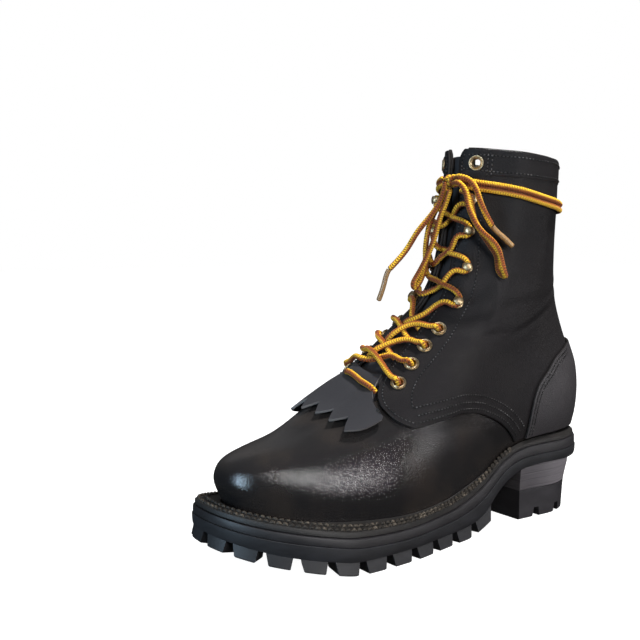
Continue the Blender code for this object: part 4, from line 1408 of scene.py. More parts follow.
@dataclass(frozen=True)
class Tip:
    """Cord end sealed in clear film over the braid: tan with a satin shine."""

    name: str
    colour: Colour = (0.20, 0.100, 0.036)
    pale: Colour = (0.36, 0.225, 0.100)

    def material(self) -> Material:
        """Colour by fine streaks.

        Returns:
            The material.
        """
        paint = Paint(self.name)
        streak = paint.noise(paint.place(), 900.0, 3.0, 0.7)
        paint.set(Base_Color=paint.mix(streak.ramp(0.35, 0.65), self.colour, self.pale))
        paint.set(Roughness=0.38, Coat_Weight=0.3)
        paint.bump(streak, 0.1)
        return paint.material


class Finishes:
    """The boot's materials, each made once."""

    def __init__(self) -> None:
        """Makes the materials."""
        self.vamp = Leather("vamp leather", roughness=0.15, grain=1050.0, depth=0.17).material()
        self.shaft = Leather(
            "shaft leather", (0.0122, 0.0113, 0.0121), (0.0140, 0.0129, 0.0132),
            roughness=0.44, grain=1250.0, depth=0.24, shine=0.11, front=0.12,
        ).material()
        self.counter = Leather(
            "counter leather", (0.027, 0.0250, 0.0272), (0.030, 0.0275, 0.0295),
            roughness=0.40, grain=1250.0, depth=0.24,
        ).material()
        self.kiltie = Leather(
            "kiltie leather", (0.0225, 0.0222, 0.0250), (0.0265, 0.0262, 0.0290),
            roughness=0.52, grain=1300.0, depth=0.05,
        ).material()
        self.kiltie_edge = RawEdge("kiltie edge", (0.17, 0.165, 0.165), (0.08, 0.078, 0.078), 0.6).material()
        self.flesh = RawEdge("flesh side", (0.050, 0.043, 0.038), (0.022, 0.019, 0.017), 0.9).material()
        self.edge = RawEdge("cut edge", (0.020, 0.018, 0.0175), (0.008, 0.0075, 0.0075), 0.65).material()
        self.welt = RawEdge("welt leather", (0.017, 0.0155, 0.0145), (0.007, 0.0065, 0.0065), 0.55).material()
        self.insole = RawEdge(
            "insole leather", (0.36, 0.23, 0.13), (0.22, 0.13, 0.07), 0.75, 500.0
        ).material()
        self.midsole = Rubber(
            "midsole rubber", (0.0104, 0.0098, 0.0110), (0.0166, 0.0156, 0.0174), 0.52
        ).material()
        self.rubber = Rubber("sole rubber").material()
        self.lift = Rubber("heel rubber", (0.0176, 0.0163, 0.0190), (0.0262, 0.0243, 0.0280), 0.6).material()
        self.stack = StackedLeather("heel stack").material()
        self.brass = Brass("aged brass").material()
        self.braid = Braid("braided lace").material()
        self.tip = Tip("lace tip").material()
        # the light colours of both threads are partly the threads' grey and partly painted glints
        self.thread = Thread(
            "upper thread", (0.160, 0.155, 0.157), (0.005, 0.0048, 0.005), start=0.46
        ).material()
        # painted shade: near-black for the flat ovals at the needle holes
        self.hole = RawEdge("needle hole", (0.003, 0.003, 0.003), (0.001, 0.001, 0.001), 0.95).material()
        self.welt_thread = Thread(
            "welt thread", (0.20, 0.165, 0.125), (0.012, 0.010, 0.008), 1100.0, 0.50
        ).material()


def settle(obj: Piece, slot: str, materials: Sequence[Material], *nodes: str) -> Piece:
    """Dresses a piece and puts it on the boot.

    Args:
        obj: the piece.
        slot: not used.
        materials: the materials of its slots, in order.
        nodes: the solids that it stands for.

    Returns:
        The piece.
    """
    data = obj.data.materials
    while len(data) < len(materials):
        data.append(None)
    for number, material in enumerate(materials):
        data[number] = material
    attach(obj, BODY)
    if nodes:
        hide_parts(*nodes)
    log.info("%s: %d faces", obj.name, len(obj.data.polygons))
    return obj


@dataclass
class SubAssembly:
    """A group of the boot's pieces, made on its form and sole and dressed in its finishes."""

    form: LastForm
    sole: SoleShape
    finishes: Finishes


@dataclass
class Upper(SubAssembly):
    """Lasted wall: the vamp outside at the front, and the lining of the shaft."""

    back_columns: int = 62
    front_columns: int = 30
    throat_columns: int = 56
    low_rows: int = 66
    high_rows: int = 60
    tuck: float = 0.002
    foot_gap: float = 1.8

    def build(self) -> Piece:
        """One ring of columns round the boot in rows from the foot to the collar, open down the throat.

        Returns:
            The wall.
        """
        rises = np.concatenate([
            np.linspace(0, THROAT_RISE, self.low_rows), np.linspace(THROAT_RISE, 1, self.high_rows)[1:]
        ])
        edge = self.form.facing(np.maximum(rises, FACING_FOOT))[:, None] - self.tuck
        bend = self.form.seam(np.minimum(rises, SEAM_TOP))[:, None]
        back = bend * np.linspace(0, 1, self.back_columns + 1)
        ahead = bend + (edge - bend) * np.linspace(0, 1, self.front_columns + 1)[1:]
        side = np.concatenate([back, ahead], axis=1)
        across = edge + (1 - 2 * edge) * np.linspace(0, 1, self.throat_columns + 1)[1:-1]
        turns = np.concatenate([side, across, 1 - side[:, :0:-1]], axis=1)
        grid = self.form.surface(turns, rises[:, None], WALL_LIFT)
        foot = grid[:1].copy()
        foot[..., 2] = self.sole.z("seat", foot[..., 0]) + self.foot_gap
        grid = np.concatenate([foot, grid])
        keep = np.ones((len(grid) - 1, grid.shape[1]), bool)
        first = self.back_columns + self.front_columns
        keep[self.low_rows:, first:first + self.throat_columns] = False
        return leather_sheet("upper", grid, WALL, ring=True, keep=keep)

    def dress(self) -> None:
        """Builds the wall, cuts its eyelet holes and gives it leather outside and flesh side inside."""
        obj, made = self.build(), self.finishes
        cut_eyelets(obj, self.form, tuple(Side))
        settle(obj, "upper_leather", (made.vamp, made.flesh, made.edge), "upper")


@dataclass
class Quarter(SubAssembly):
    """Side of the shaft with its facing: a sheet from the back seam to the throat, over the vamp."""

    side: Side
    back_columns: int = 66
    front_columns: int = 40
    low_rows: int = 44
    high_rows: int = 112
    back_gap: float = 0.0016

    def places(self) -> tuple[Array, Array]:
        """Turns and rises of the grid on the outer side.

        Returns:
            Two arrays by row and column: low rows end at the vamp seam, high rows at the facing's edge.
        """
        low = np.linspace(FOOT_RISE, SEAM_TOP, self.low_rows)[:-1]
        share = np.linspace(0, 1, self.high_rows)
        back = np.linspace(0, 1, self.back_columns + 1)
        ahead = np.linspace(0, 1, self.front_columns + 1)[1:]
        start, bend = self.back_gap, float(self.form.seam(SEAM_TOP))
        low_bend = self.form.seam(low)[:, None]
        low_turn = np.concatenate([start + (low_bend - start) * back, np.repeat(low_bend, len(ahead), 1)], 1)
        low_rise = np.repeat(low[:, None], low_turn.shape[1], 1)
        start_rise = np.concatenate([np.full(len(back), SEAM_TOP), self.form.hem(ahead)])
        rise = start_rise + (COLLAR_RISE - start_rise) * share[:, None]
        front = self.form.facing(rise[:, -1])[:, None]
        behind = np.repeat(start + (bend - start) * back[None], len(share), 0)
        turn = np.concatenate([behind, bend + (front - bend) * ahead], 1)
        return np.concatenate([low_turn, turn]), np.concatenate([low_rise, rise])

    def build(self) -> Piece:
        """The sheet on its own side, with its rows below the seam ended there.

        Returns:
            The sheet.
        """
        turn, rise = self.places()
        keep = np.ones((len(turn) - 1, turn.shape[1] - 1), bool)
        keep[:self.low_rows - 1, self.back_columns:] = False
        turn = self.side.turn(turn)
        if self.side is Side.INNER:
            turn, rise, keep = turn[:, ::-1], rise[:, ::-1], keep[:, ::-1]
        grid = self.form.surface(turn, rise, QUARTER_LIFT)
        return leather_sheet(f"quarter_{self.side.value}", grid, OVERLAY, keep=keep)

    def dress(self) -> None:
        """Builds the sheet, cuts its eyelet holes and gives it satin leather."""
        obj, made = self.build(), self.finishes
        cut_eyelets(obj, self.form, (self.side,))
        settle(obj, "upper_leather", (made.shaft, made.flesh, made.edge), f"quarter_{self.side.value}")


@dataclass
class Overlays(SubAssembly):
    """Heel counter, collar band and pull loop."""

    thickness: float = 1.5
    loop_heights: Pair = (235.0, 254.5)
    loop_sides: Pair = (-10.0, 4.0)
    loop_x: float = -129.0
    loop_lean: float = 1.1
    loop_bow: float = 8.8

    def counter(self) -> Piece:
        """Cup round the heel: rows up to its top, columns spread between its two front edges.

        Returns:
            The cup.
        """
        rises = np.linspace(FOOT_RISE, COUNTER_EDGE[-1].rise, 70)[:, None]
        turns = self.form.counter(rises) * np.linspace(-1, 1, 121)
        return leather_sheet("heel_counter", self.form.surface(turns, rises, COUNTER_LIFT), self.thickness)

    def band(self) -> Piece:
        """Band round the collar between its two front tabs.

        Returns:
            The band.
        """
        cut = BAND_EDGE[:-1]
        turns = np.linspace(-cut[-1].turn, cut[-1].turn, 190)
        low = table_curve(cut, "turn", "rise", blur=0.05)(np.abs(turns))
        rises = low + (COLLAR_RISE - low) * np.linspace(0, 1, 14)[:, None]
        return leather_sheet("collar_band", self.form.surface(turns, rises, BAND_LIFT), self.thickness)

    def loop(self) -> Piece:
        """Short strap sewn on at both ends, bowed off the back of the collar as a power of a sine.

        Returns:
            The strap.
        """
        part = np.linspace(0, 1, 40)[:, None]
        z = self.loop_heights[0] + (self.loop_heights[1] - self.loop_heights[0]) * part
        x = self.loop_x - self.loop_lean * part - self.loop_bow * np.sin(np.pi * part) ** 0.8
        grid = np.stack(np.broadcast_arrays(x, np.linspace(*self.loop_sides, 17), z), -1)
        return leather_sheet("pull_loop", grid, self.thickness)

    def dress(self) -> None:
        """Builds the three pieces and gives them leather."""
        made = self.finishes
        pieces = (
            ("heel_counter", self.counter(), made.counter),
            ("collar_band", self.band(), made.shaft),
            ("pull_loop", self.loop(), made.shaft),
        )
        for node, obj, leather in pieces:
            settle(obj, "upper_leather", (leather, made.flesh, made.edge), node)


@dataclass
class TongueSet(SubAssembly):
    """Tongue inside the throat and the fringed kiltie over the vamp."""

    tongue_rises: Pair = (0.38, 0.985)
    kiltie_rises: Triple = (0.435, 0.47, 0.515)
    kiltie_keys: tuple[float, ...] = (0.0, 0.2, 0.45, 0.7, 1.0)
    throat_gap: float = 0.009
    thickness: float = 1.6
    rim: float = 0.3

    def tongue(self) -> Piece:
        """Sheet under the throat, a little wider than it.

        Returns:
            The sheet.
        """
        rises = np.linspace(*self.tongue_rises, 120)[:, None]
        turns = 0.5 + table_curve(TONGUE, "rise", "turn", blur=0.03)(rises) * np.linspace(-1, 1, 60)
        return leather_sheet("tongue", self.form.surface(turns, rises, TONGUE_LIFT), WALL)

    def kiltie(self) -> Piece:
        """Sheet over the vamp: columns run from a zigzag lower edge past the teeth's roots into the throat.

        Returns:
            The sheet.
        """
        corner = np.arange(len(FRINGE))
        fine = np.linspace(0, corner[-1], 10 * corner[-1] + 1)
        tips = [np.interp(fine, corner, column(FRINGE, name)) for name in ("turn", "rise")]
        roots = [Softened(corner, column(FRINGE, name), 0.4)(fine) for name in ("root_turn", "root_rise")]
        across = (roots[0] - roots[0][0]) / (roots[0][-1] - roots[0][0])
        rows = [tips, roots]
        for rise in self.kiltie_rises:
            half = 0.5 - self.form.facing(rise) - self.throat_gap
            rows.append([0.5 - half + 2 * half * across, np.full(len(fine), rise)])
        part = np.linspace(0, 1, 40)
        turns, rises = (
            np.stack([eased(self.kiltie_keys, line, part) for line in lines.T], 1)
            for lines in np.array(rows).swapaxes(0, 1)
        )
        grid = self.form.surface(turns, rises, table_curve(KILTIE, "rise", "lift", blur=0.012)(rises))
        return leather_sheet("kiltie", grid, self.thickness, self.rim, even=False)

    def dress(self) -> None:
        """Builds both sheets and gives them leather."""
        made = self.finishes
        settle(self.tongue(), "tongue_leather", (made.kiltie, made.flesh, made.edge), "tongue")
        settle(self.kiltie(), "tongue_leather", (made.kiltie, made.flesh, made.kiltie_edge), "kiltie")


class Ring(NamedTuple):
    """Ring of a layer: inset from an outline, or share across the welt, then its level and height change."""

    inset: float
    level: str
    change: float


@dataclass
class SoleSet(SubAssembly):
    """Insole, welt, midsole, lug outsole and heel."""

    stations: int = 240
    lug_turns: Pair = (0.200, 0.800)
    lug_pitch: float = 21.0
    lug_depth: float = 19.0
    tread_gap: float = 8.0
    root_gap: float = 4.0
    draft: float = 2.0
    sink: float = 2.0
    chamfer: float = 0.7
    diamond: Pair = (8.5, 12.0)
    diamond_first: float = -18.0
    diamond_pitch: float = 24.0
    diamond_count: int = 6
    groove: Pair = (4.0, 24.0)
    groove_places: tuple[Pair, ...] = ((-97.0, 40.0), (-97.0, -40.0), (-119.0, 40.0), (-119.0, -40.0))
    outsole_rings: tuple[Ring, ...] = (
        Ring(1.4, "root", 0.0), Ring(0.9, "root", 1.5), Ring(0.6, "joint", -2.0),
        Ring(0.6, "joint", -0.5), Ring(0.9, "joint", -0.12), Ring(1.6, "joint", 0.0),
    )
    midsole_rings: tuple[Ring, ...] = (
        Ring(1.9, "joint", 0.12), Ring(1.3, "joint", 0.35), Ring(1.2, "joint", 1.5),
        Ring(1.3, "seat", -1.2), Ring(1.6, "seat", -0.35), Ring(2.4, "seat", 0.0),
    )
    welt_rings: tuple[Ring, ...] = (
        Ring(0.00, "seat", 0.6), Ring(0.00, "lip", -1.0), Ring(0.05, "lip", -0.25), Ring(0.14, "lip", 0.05),
        Ring(0.27, "lip", 0.30), Ring(0.42, "lip", 1.25), Ring(0.54, "lip", 1.60), Ring(0.68, "lip", 1.40),
        Ring(1.00, "feather", -0.4), Ring(1.00, "seat", 0.6),
    )
    insole_rings: tuple[Ring, ...] = (
        Ring(5.2, "seat", 0.9), Ring(4.9, "seat", 3.6), Ring(5.4, "seat", 4.4), Ring(8.0, "seat", 4.5),
    )

    @property
    def turns(self) -> Array:
        """Even places round the sole."""
        return np.arange(self.stations) / self.stations

    def slab(self, name: str, layers: Sequence[Ring]) -> Piece:
        """Layer of the sole through rings drawn in from the outline."""
        return ring_solid(name, [
            self.sole.at(self.sole.edge(self.turns, inset), level, change) for inset, level, change in layers
        ])

    def lugs(self) -> Piece:
        """Lugs round the edge and a row of diamonds down the middle, as closed blocks with eased edges.

        Returns:
            One object with all the lugs.
        """
        turns = np.linspace(*self.lug_turns, CURVE_SAMPLES)
        reach = lengths(self.sole.plan(turns))
        ends = np.linspace(0, reach[-1], round(reach[-1] / self.lug_pitch) + 1)[:, None]
        share = np.linspace(0, 1, 7)
        lugs = []
        for level, gap, outer, inner, change in (
            ("tread", self.tread_gap / 2 + self.chamfer, self.chamfer, self.lug_depth - self.chamfer, 0.0),
            ("tread", self.tread_gap / 2, 0.0, self.lug_depth, self.chamfer),
            ("root", self.root_gap / 2, self.draft, self.lug_depth, self.sink),
        ):
            start, stop = ends[:-1] + gap, ends[1:] - gap
            marks = np.interp(start + (stop - start) * share, reach, turns)
            xy = np.concatenate([self.sole.edge(marks, outer), self.sole.edge(marks[:, ::-1], inner)], axis=1)
            lugs.append(self.sole.at(xy, level, change))
        spots = self.diamond_first + self.diamond_pitch * np.arange(self.diamond_count)
        corner = np.array([(-1, 0), (0, 1), (1, 0), (0, -1)]) * self.diamond
        middle = np.stack([spots, -1.0 - 0.03 * np.maximum(spots, 0)], -1)[:, None]
        levels = ((0.93, "tread", 0.0), (1.0, "tread", self.chamfer), (1.0, "root", self.sink))
        diamonds = [self.sole.at(middle + size * corner, level, change) for size, level, change in levels]
        return self.blocks("lugs", [np.stack(lugs, 1), np.stack(diamonds, 1)])

    def blocks(self, name: str, groups: Sequence[Array]) -> Piece:
        """One object of closed blocks, from arrays by block, ring and point."""
        made = [(block, tube_faces(*block.shape[:2])) for group in groups for block in group]
        return make_object(name, *joined(made), closed=True)

    def outsole(self) -> Piece:
        """Plate with its lugs joined on.

        Returns:
            The outsole.
        """
        plate = self.slab("outsole", self.outsole_rings)
        combine(plate, self.lugs(), "UNION")
        return plate

    def welt(self) -> Piece:
        """Strip round the upper's foot: a rounded lip outside that rises to a second one inside.

        Returns:
            The strip, closed from its last ring to its first.
        """
        out, inside = welt_edges(self.form, self.sole, self.turns)
        rings = [
            self.sole.at(out + share * (inside - out), level, change)
            for share, level, change in self.welt_rings
        ]
        faces = grid_faces(len(rings) + 1, self.stations, True) % (len(rings) * self.stations)
        return make_object("welt", np.stack(rings), faces, 60.0, closed=True)

    def insole(self) -> Piece:
        """Board inside the wall, with an eased top edge.

        Returns:
            The board.
        """
        foot = self.form.point(self.turns, 0.0)[..., :2]
        along = (self.form.point(self.turns + STEP, 0.0) - self.form.point(self.turns - STEP, 0.0))[..., :2]
        inwards = unit(np.stack([along[..., 1], -along[..., 0]], -1))
        return ring_solid("insole", [
            self.sole.at(foot + inset * inwards, level, change) for inset, level, change in self.insole_rings
        ])

    def heel_ring(self, z: float, grow: float = 0.0, count: int = 60) -> Array:
        """Ring of the heel at a height, from the back round to the breast and back.

        Args:
            z: the height.
            grow: how far the ring stands out from the heel's taper.
            count: points along each side.

        Returns:
            The ring's points.
        """
        back, side, breast = (
            eased(column(HEEL, "z"), column(HEEL, name), z) for name in ("back", "side", "breast")
        )
        turns = np.linspace(0, math.acos(-BREAST_X / HALF_LENGTH) / (2 * math.pi), count)
        sides = [self.sole.plan(turns), self.sole.plan(1 - turns)[1:][::-1]]
        middle = np.array([[BREAST_X + BREAST_BOW, (sides[0][-1, 1] + sides[1][0, 1]) / 2]])
        xy = np.concatenate([sides[0], middle, sides[1]])
        x = breast + (xy[:, 0] - BREAST_X) * (1 - (back - grow) / (HALF_LENGTH + BREAST_X))
        y = HEEL_Y + (xy[:, 1] - HEEL_Y) * (1 - (side - grow) / HEEL_HALF_WIDTH)
        return np.column_stack([x, y, np.full(len(x), z)])

    def heel_block(self, name: str, levels: Sequence[Pair]) -> Piece:
        """Part of the heel through rings of a height and a growth."""
        return ring_solid(name, [self.heel_ring(z, grow) for z, grow in levels])

    def heel(self) -> tuple[Piece, Piece]:
        """Stack trimmed to the outsole's underside, and the rubber lift with its grooves.

        Returns:
            The stack and the lift.
        """
        top = LIFT_HEIGHT
        levels = ((top + 0.1, -0.5), (top + 0.6, 0.0), (28.0, 0.0), (35.0, 0.0), (46.0, 0.0))
        stack = self.heel_block("heel_stack", levels)
        edge = self.sole.edge(np.arange(160) / 160, -6.0)
        trim = ring_solid("trim", [self.sole.at(edge, "root", change) for change in (-0.15, 30.0)])
        combine(stack, trim, "DIFFERENCE")
        levels = ((0.0, -0.8), (0.8, 0.0), (8.0, 0.0), (15.0, 0.0), (top - 0.6, 0.0), (top, -0.5))
        lift = self.heel_block("heel_lift", levels)
        box = np.array([(-1, -1), (1, -1), (1, 1), (-1, 1)]) * self.groove
        places = np.array(self.groove_places)[:, None]
        cuts = [
            np.concatenate([places + box * (narrow, 1.0), np.full((len(places), len(box), 1), z)], -1)
            for narrow, z in ((1.0, -2.0), (0.55, 7.0))
        ]
        combine(lift, self.blocks("grooves", [np.stack(cuts, 1)]), "DIFFERENCE")
        return stack, lift

    def dress(self) -> None:
        """Builds the sole's layers and gives each its material."""
        made = self.finishes
        settle(self.outsole(), "sole_rubber", (made.rubber,), "outsole")
        settle(self.slab("midsole", self.midsole_rings), "edge_leather", (made.midsole,), "midsole")
        settle(self.welt(), "edge_leather", (made.welt,), "welt")
        settle(self.insole(), "insole_leather", (made.insole,), "insole")
        stack, lift = self.heel()
        settle(stack, "edge_leather", (made.stack,), "heel_stack")
        settle(lift, "sole_rubber", (made.lift,), "heel_lift")


@dataclass
class Fittings(SubAssembly):
    """Brass eyelets and lace hooks."""

    head: float = 3.05
    neck: float = 4.2

    def eyelet(self, name: str, spot: Spot, side: Side) -> Piece:
        """Turned ring: a thin flange, a groove and a rolled rim, on a barrel through the leather.

        Args:
            name: the piece's name.
            spot: its place, as on the outer side.
            side: the side that it is on.

        Returns:
            The ring.
        """
        profile = np.array([
            (5.10, -0.60), (5.18, -0.10), (5.05, 0.20), (4.75, 0.26), (4.50, 0.08), (4.32, 0.00),
            (4.15, 0.22), (3.90, 0.66), (3.55, 0.90), (3.20, 0.76), (2.95, 0.34), (2.82, -0.30),
            (2.78, -1.5), (2.78, -5.0), (3.2, -5.0), (3.2, -0.9),
        ])
        origin, axes = self.form.seat(side.turn(spot.turn), spot.rise, FITTING_LIFT)
        points, faces = turned(np.concatenate([profile, profile[:1]]), origin, axes, 40)
        return make_object(name, points, faces, 55.0, closed=True)

    def hook(self, name: str, spot: Spot, side: Side) -> Piece:
        """Lace hook: a riveted foot, a bent neck on the throat's side and a domed round head.

        Args:
            name: the piece's name.
            spot: its place, as on the outer side.
            side: the side that it is on.

        Returns:
            The hook.
        """
        origin, axes = self.form.seat(side.turn(spot.turn), spot.rise, FITTING_LIFT)
        axes = axes * np.array([[side.sign], [1.0], [1.0]])
        dome = np.radians(np.linspace(90, 0, 9))
        head = np.stack([self.head * np.cos(dome), 5.7 + 1.25 * np.sin(dome)], -1)
        head = np.concatenate([[(1e-3, 6.95)], head, [(self.head - 0.25, 5.35), (1e-3, 5.25)]])
        foot = np.array([(1e-3, 0.95), (2.6, 0.95), (3.4, 0.75), (3.7, 0.3), (3.6, -0.35), (1e-3, -0.4)])
        blocks = [
            turned(profile, origin + shift * axes[0], axes, 32)
            for profile, shift in ((head, 0.5), (foot, 0.0))
        ]
        bend = np.radians(np.linspace(-90, 90, 15))
        line = np.stack([-1.4 - 1.7 * np.cos(bend), 3.2 + 2.75 * np.sin(bend)], -1)
        line = np.concatenate([[(1.5, 0.45)], line, [(1.5, 5.95)]])
        out = unit(np.stack([np.gradient(line[:, 1]), -np.gradient(line[:, 0])], -1))
        half = self.neck / 2
        corners = np.array([
            (half - 0.3, 0.45), (half, 0.15), (half, -0.15), (half - 0.3, -0.45),
            (0.3 - half, -0.45), (-half, -0.15), (-half, 0.15), (0.3 - half, 0.45),
        ])
        local = np.stack([
            line[:, None, 0] + corners[:, 1] * out[:, None, 0],
            np.broadcast_to(corners[:, 0], (len(line), len(corners))),
            line[:, None, 1] + corners[:, 1] * out[:, None, 1],
        ], -1)
        blocks.append((origin + local @ axes, tube_faces(len(line), len(corners))))
        return make_object(name, *joined(blocks), 45.0, closed=True)

    def dress(self) -> None:
        """Builds every eyelet and hook on both sides."""
        for side in Side:
            for kind, make, spots in (("eyelet", self.eyelet, EYELETS), ("hook", self.hook, HOOKS)):
                for number, spot in enumerate(spots, 1):
                    name = f"{kind}_{side.value}_{number}"
                    settle(make(name, spot, side), "brass", (self.finishes.brass,), name)


class Band(NamedTuple):
    """Rust bands of a strand: their turn from the outward direction, and their turns along the strand."""

    tone: float
    twist: float


BANDS = {
    "lace_bar": (Band(0.0, 0.0),),
    "lace_cross_1": (Band(0.20, 0.25), Band(0.24, 0.25)),
    "lace_cross_2": (Band(0.16, 0.25), Band(0.08, 0.25)),
    "lace_cross_3": (Band(0.22, 0.25), Band(0.12, 0.25)),
    "lace_hooked": (Band(0.05, 1.4), Band(0.15, 1.1)),
    "lace_wrap": (Band(-0.075, 0.0), Band(0.217, 0.0)),
}


@dataclass
class Laces(SubAssembly):
    """Braided laces: bar, crossings, hooked strands, wrap, knot, loops and ends."""

    radius: float = LACE_RADIUS
    around: int = 18
    spacing: float = 0.55
    rib: float = 0.10
    free_twist: float = 0.35
    eyelet_rim: float = 0.9
    hook_foot: float = 1.0
    hook_gap: float = 0.3

    def outward(self, path: Array) -> Array:
        """Directions away from the boot's middle line, which leans forward below the ankle.

        Args:
            path: points of a strand.

        Returns:
            Unit vectors.
        """
        middle_x = np.interp(path[:, 2], [60, 150, 270], [40, -75, -85])
        middle = np.stack([middle_x, np.full(len(path), -2.0), path[:, 2] - 25.0], -1)
        return unit(path - middle)

    def strand(self, name: str, path: Array, band: Band) -> Piece:
        """One length of braid with chevron ribs in its skin and rounded ends.

        Args:
            name: the piece's name.
            path: points of its middle line, evenly spread.
            band: how its rust bands lie.

        Returns:
            The cord as a mesh tube with a map of the share round it and the length along it.
        """
        reach = lengths(path)
        end = np.minimum(reach, reach[-1] - reach)
        taper = np.sqrt(np.clip(1 - (1 - np.clip(end / (0.6 * self.radius), 0, 1)) ** 2, 0.02, 1))
        share = np.arange(self.around + 1) / self.around
        across = share + band.tone + band.twist * (reach / reach[-1])[:, None] + 0.5
        fold = np.abs((2 * across % 1.0) * 2 - 1)
        phase = reach[:, None] / Braid.pitch + fold * Braid.slope
        radius = taper[:, None] * (self.radius + self.rib * np.sin(2 * math.pi * phase))
        grid = tube_grid(path, radius, self.outward(path), self.around)
        obj = make_object(name, grid, grid_faces(len(path), self.around + 1), 180.0)
        set_uv(obj, np.stack([across, np.broadcast_to(reach[:, None], across.shape)], -1))
        return obj

    def route(self, spots: Sequence[Hang | Air]) -> Array:
        """Smooth path through places on the form or in the air."""
        return splined(np.array([self.form.place(spot) for spot in spots]), self.spacing)

    def mirrored(self, spots: Sequence[Hang]) -> list[Hang]:
        """The same places on the other side of the throat."""
        return [Hang(1 - spot.turn, spot.rise, spot.lift) for spot in spots]

    def from_eyelet(self, spot: Spot, lip: Spot) -> list[Hang]:
        """First places of a strand that comes up through an eyelet, over its rim and on towards a lip.

        Args:
            spot: the eyelet.
            lip: the place on the facing's edge.

        Returns:
            The places in order, the lip last.
        """
        ahead = np.array(lip) - np.array(spot)
        ahead = ahead / np.hypot(TURN_MM * ahead[0], RISE_MM * ahead[1])
        rim = FITTING_LIFT + self.eyelet_rim + self.radius
        steps = ((-0.4, -5.0), (0.0, 0.4), (1.6, rim - 1.5), (3.5, rim), (6.2, rim - 0.5), (9.4, rim - 1.1))
        places = [Hang(*(np.array(spot) + distance * ahead), lift) for distance, lift in steps]
        return places + [Hang(lip.turn, lip.rise, rim - 1.0)]

    def crossings(self) -> dict[str, list[Array]]:
        """Paths of the strands between the eyelets.

        Returns:
            Two paths for each solid that they stand for.
        """
        low, high = EYELETS[:2]
        over = self.from_eyelet(low, Spot(0.428, 0.503)) + [Hang(0.486, 0.542, 6.2), Hang(0.515, 0.550, 6.2)]
        over += self.mirrored(self.from_eyelet(high, Spot(0.454, 0.5485)))[::-1]
        under = self.mirrored(self.from_eyelet(low, Spot(0.423, 0.508)))
        under += [Hang(0.528, 0.528, 3.4), Hang(0.5095, 0.5375, 2.4), Hang(0.497, 0.548, 2.3)]
        under += self.from_eyelet(high, Spot(0.4626, 0.558))[::-1]
        made = {"lace_cross_1": [self.route(over), self.route(under)], "lace_cross_2": [], "lace_cross_3": []}
        for row in STRANDS:
            hidden = Hang(row.end.turn + 0.02, row.end.rise - 0.006, -3.8)
            spots = self.from_eyelet(EYELETS[row.eyelet], row.lip) + [row.middle, row.end, hidden]
            path = self.route(spots if row.side is Side.OUTER else self.mirrored(spots))
            made[f"lace_cross_{row.eyelet}"].append(path)
        return made

    def round_hook(self, spot: Spot, side: Side) -> list[Array]:
        """Places where the lace passes behind a hook's neck.

        Args:
            spot: the hook, as on the outer side.
            side: the side that it is on.

        Returns:
            Points from below to above.
        """
        lift = FITTING_LIFT + self.hook_foot + self.hook_gap + self.radius
        origin, axes = self.form.seat(side.turn(spot.turn), spot.rise, lift)
        bends = ((-5.6, -3.7), (-0.6, -3.2), (0.9, 0.0), (-0.6, 3.2), (-4.6, 5.7))
        return [origin + side.sign * aside * axes[0] + up * axes[1] for aside, up in bends]

    def hooked(self, first: Side) -> Array:
        """Path of a strand from the throat round the hooks in turn, bent over the lips of the facings.

        Args:
            first: the side of its first hook; the strand that starts outside lies on top.

        Returns:
            Points of the path.
        """
        over = first is Side.OUTER
        middle = 2.8 if over else -0.7
        begin = [
            Hang(0.545, 0.630, -3.8), Hang(0.523, 0.640, 0.4), Hang(0.476, 0.6615, middle + 1.4),
            Hang(0.460, 0.681, 3.7),
        ]
        points = [self.form.place(spot) for spot in (begin if over else self.mirrored(begin))]
        side = first
        for number, spot in enumerate(HOOKS):
            more = number + 1 < len(HOOKS)
            points += self.round_hook(spot, side)[:None if more else 4]
            if more:
                row = next(bend for bend in BENDS if (bend.first, bend.hook) == (first, number))
                rise = (spot.rise + HOOKS[number + 1].rise) / 2 + row.middle
                lean = (0.5 - float(self.form.facing(rise))) * side.sign
                near, far = Hang(0.5 - lean, rise + row.near, 3.5), Hang(0.5 + lean, rise + row.far, 3.5)
                points += [self.form.place(place) for place in (near, Hang(0.5, rise, middle), far)]
            side = side.other
        return splined(np.array(points), self.spacing)

    def wrap(self) -> list[Array]:
        """Paths of the two strands that lie side by side round the shaft under the collar band.

        Returns:
            The lower path and the upper one.
        """
        turns, blur = np.linspace(-0.481, 0.459, 80), 0.03
        reach = np.abs(turns)
        keys = (0.0, 0.19, 0.246, 0.305, 0.348, 0.42, 0.47)
        rises = Softened(keys, (0.862, 0.882, 0.897, 0.911, 0.921, 0.926, 0.934), blur)(reach)
        apart = Softened((0.0, 0.30, 0.42, 0.47), (0.0087, 0.0066, 0.0057, 0.0055), blur)(reach)
        lifts = Softened((0.0, 0.36, 0.47), (3.2, 3.2, 4.9), blur)(reach)
        return [
            splined(self.form.surface(turns, rises + part * apart, lifts), self.spacing) for part in (-1, 1)
        ]

    def knot(self) -> Array:
        """Path of the knot: a short coil about a line across the boot.

        Returns:
            Points of the path.
        """
        middle = self.form.place(KNOT)
        spin = np.linspace(0.0, 3.75 * math.pi, 60)
        line = np.stack([2.6 * np.cos(spin), -3.4 + 3.9 * spin / (2 * math.pi), 2.6 * np.sin(spin)], -1)
        return splined(middle + line, self.spacing)

    def free(
        self, name: str, path: Array, tone: float, lay: str = "hanging", tip: Piece | None = None,
    ) -> None:
        """Args:
            name: the piece's and the solid's name.
            path: its middle line.
            tone: turn of its rust bands.
            lay: not used.
            tip: not used.
        """
        obj = self.strand(name, path, Band(tone, self.free_twist))
        settle(obj, "lace", (self.finishes.braid,), name)

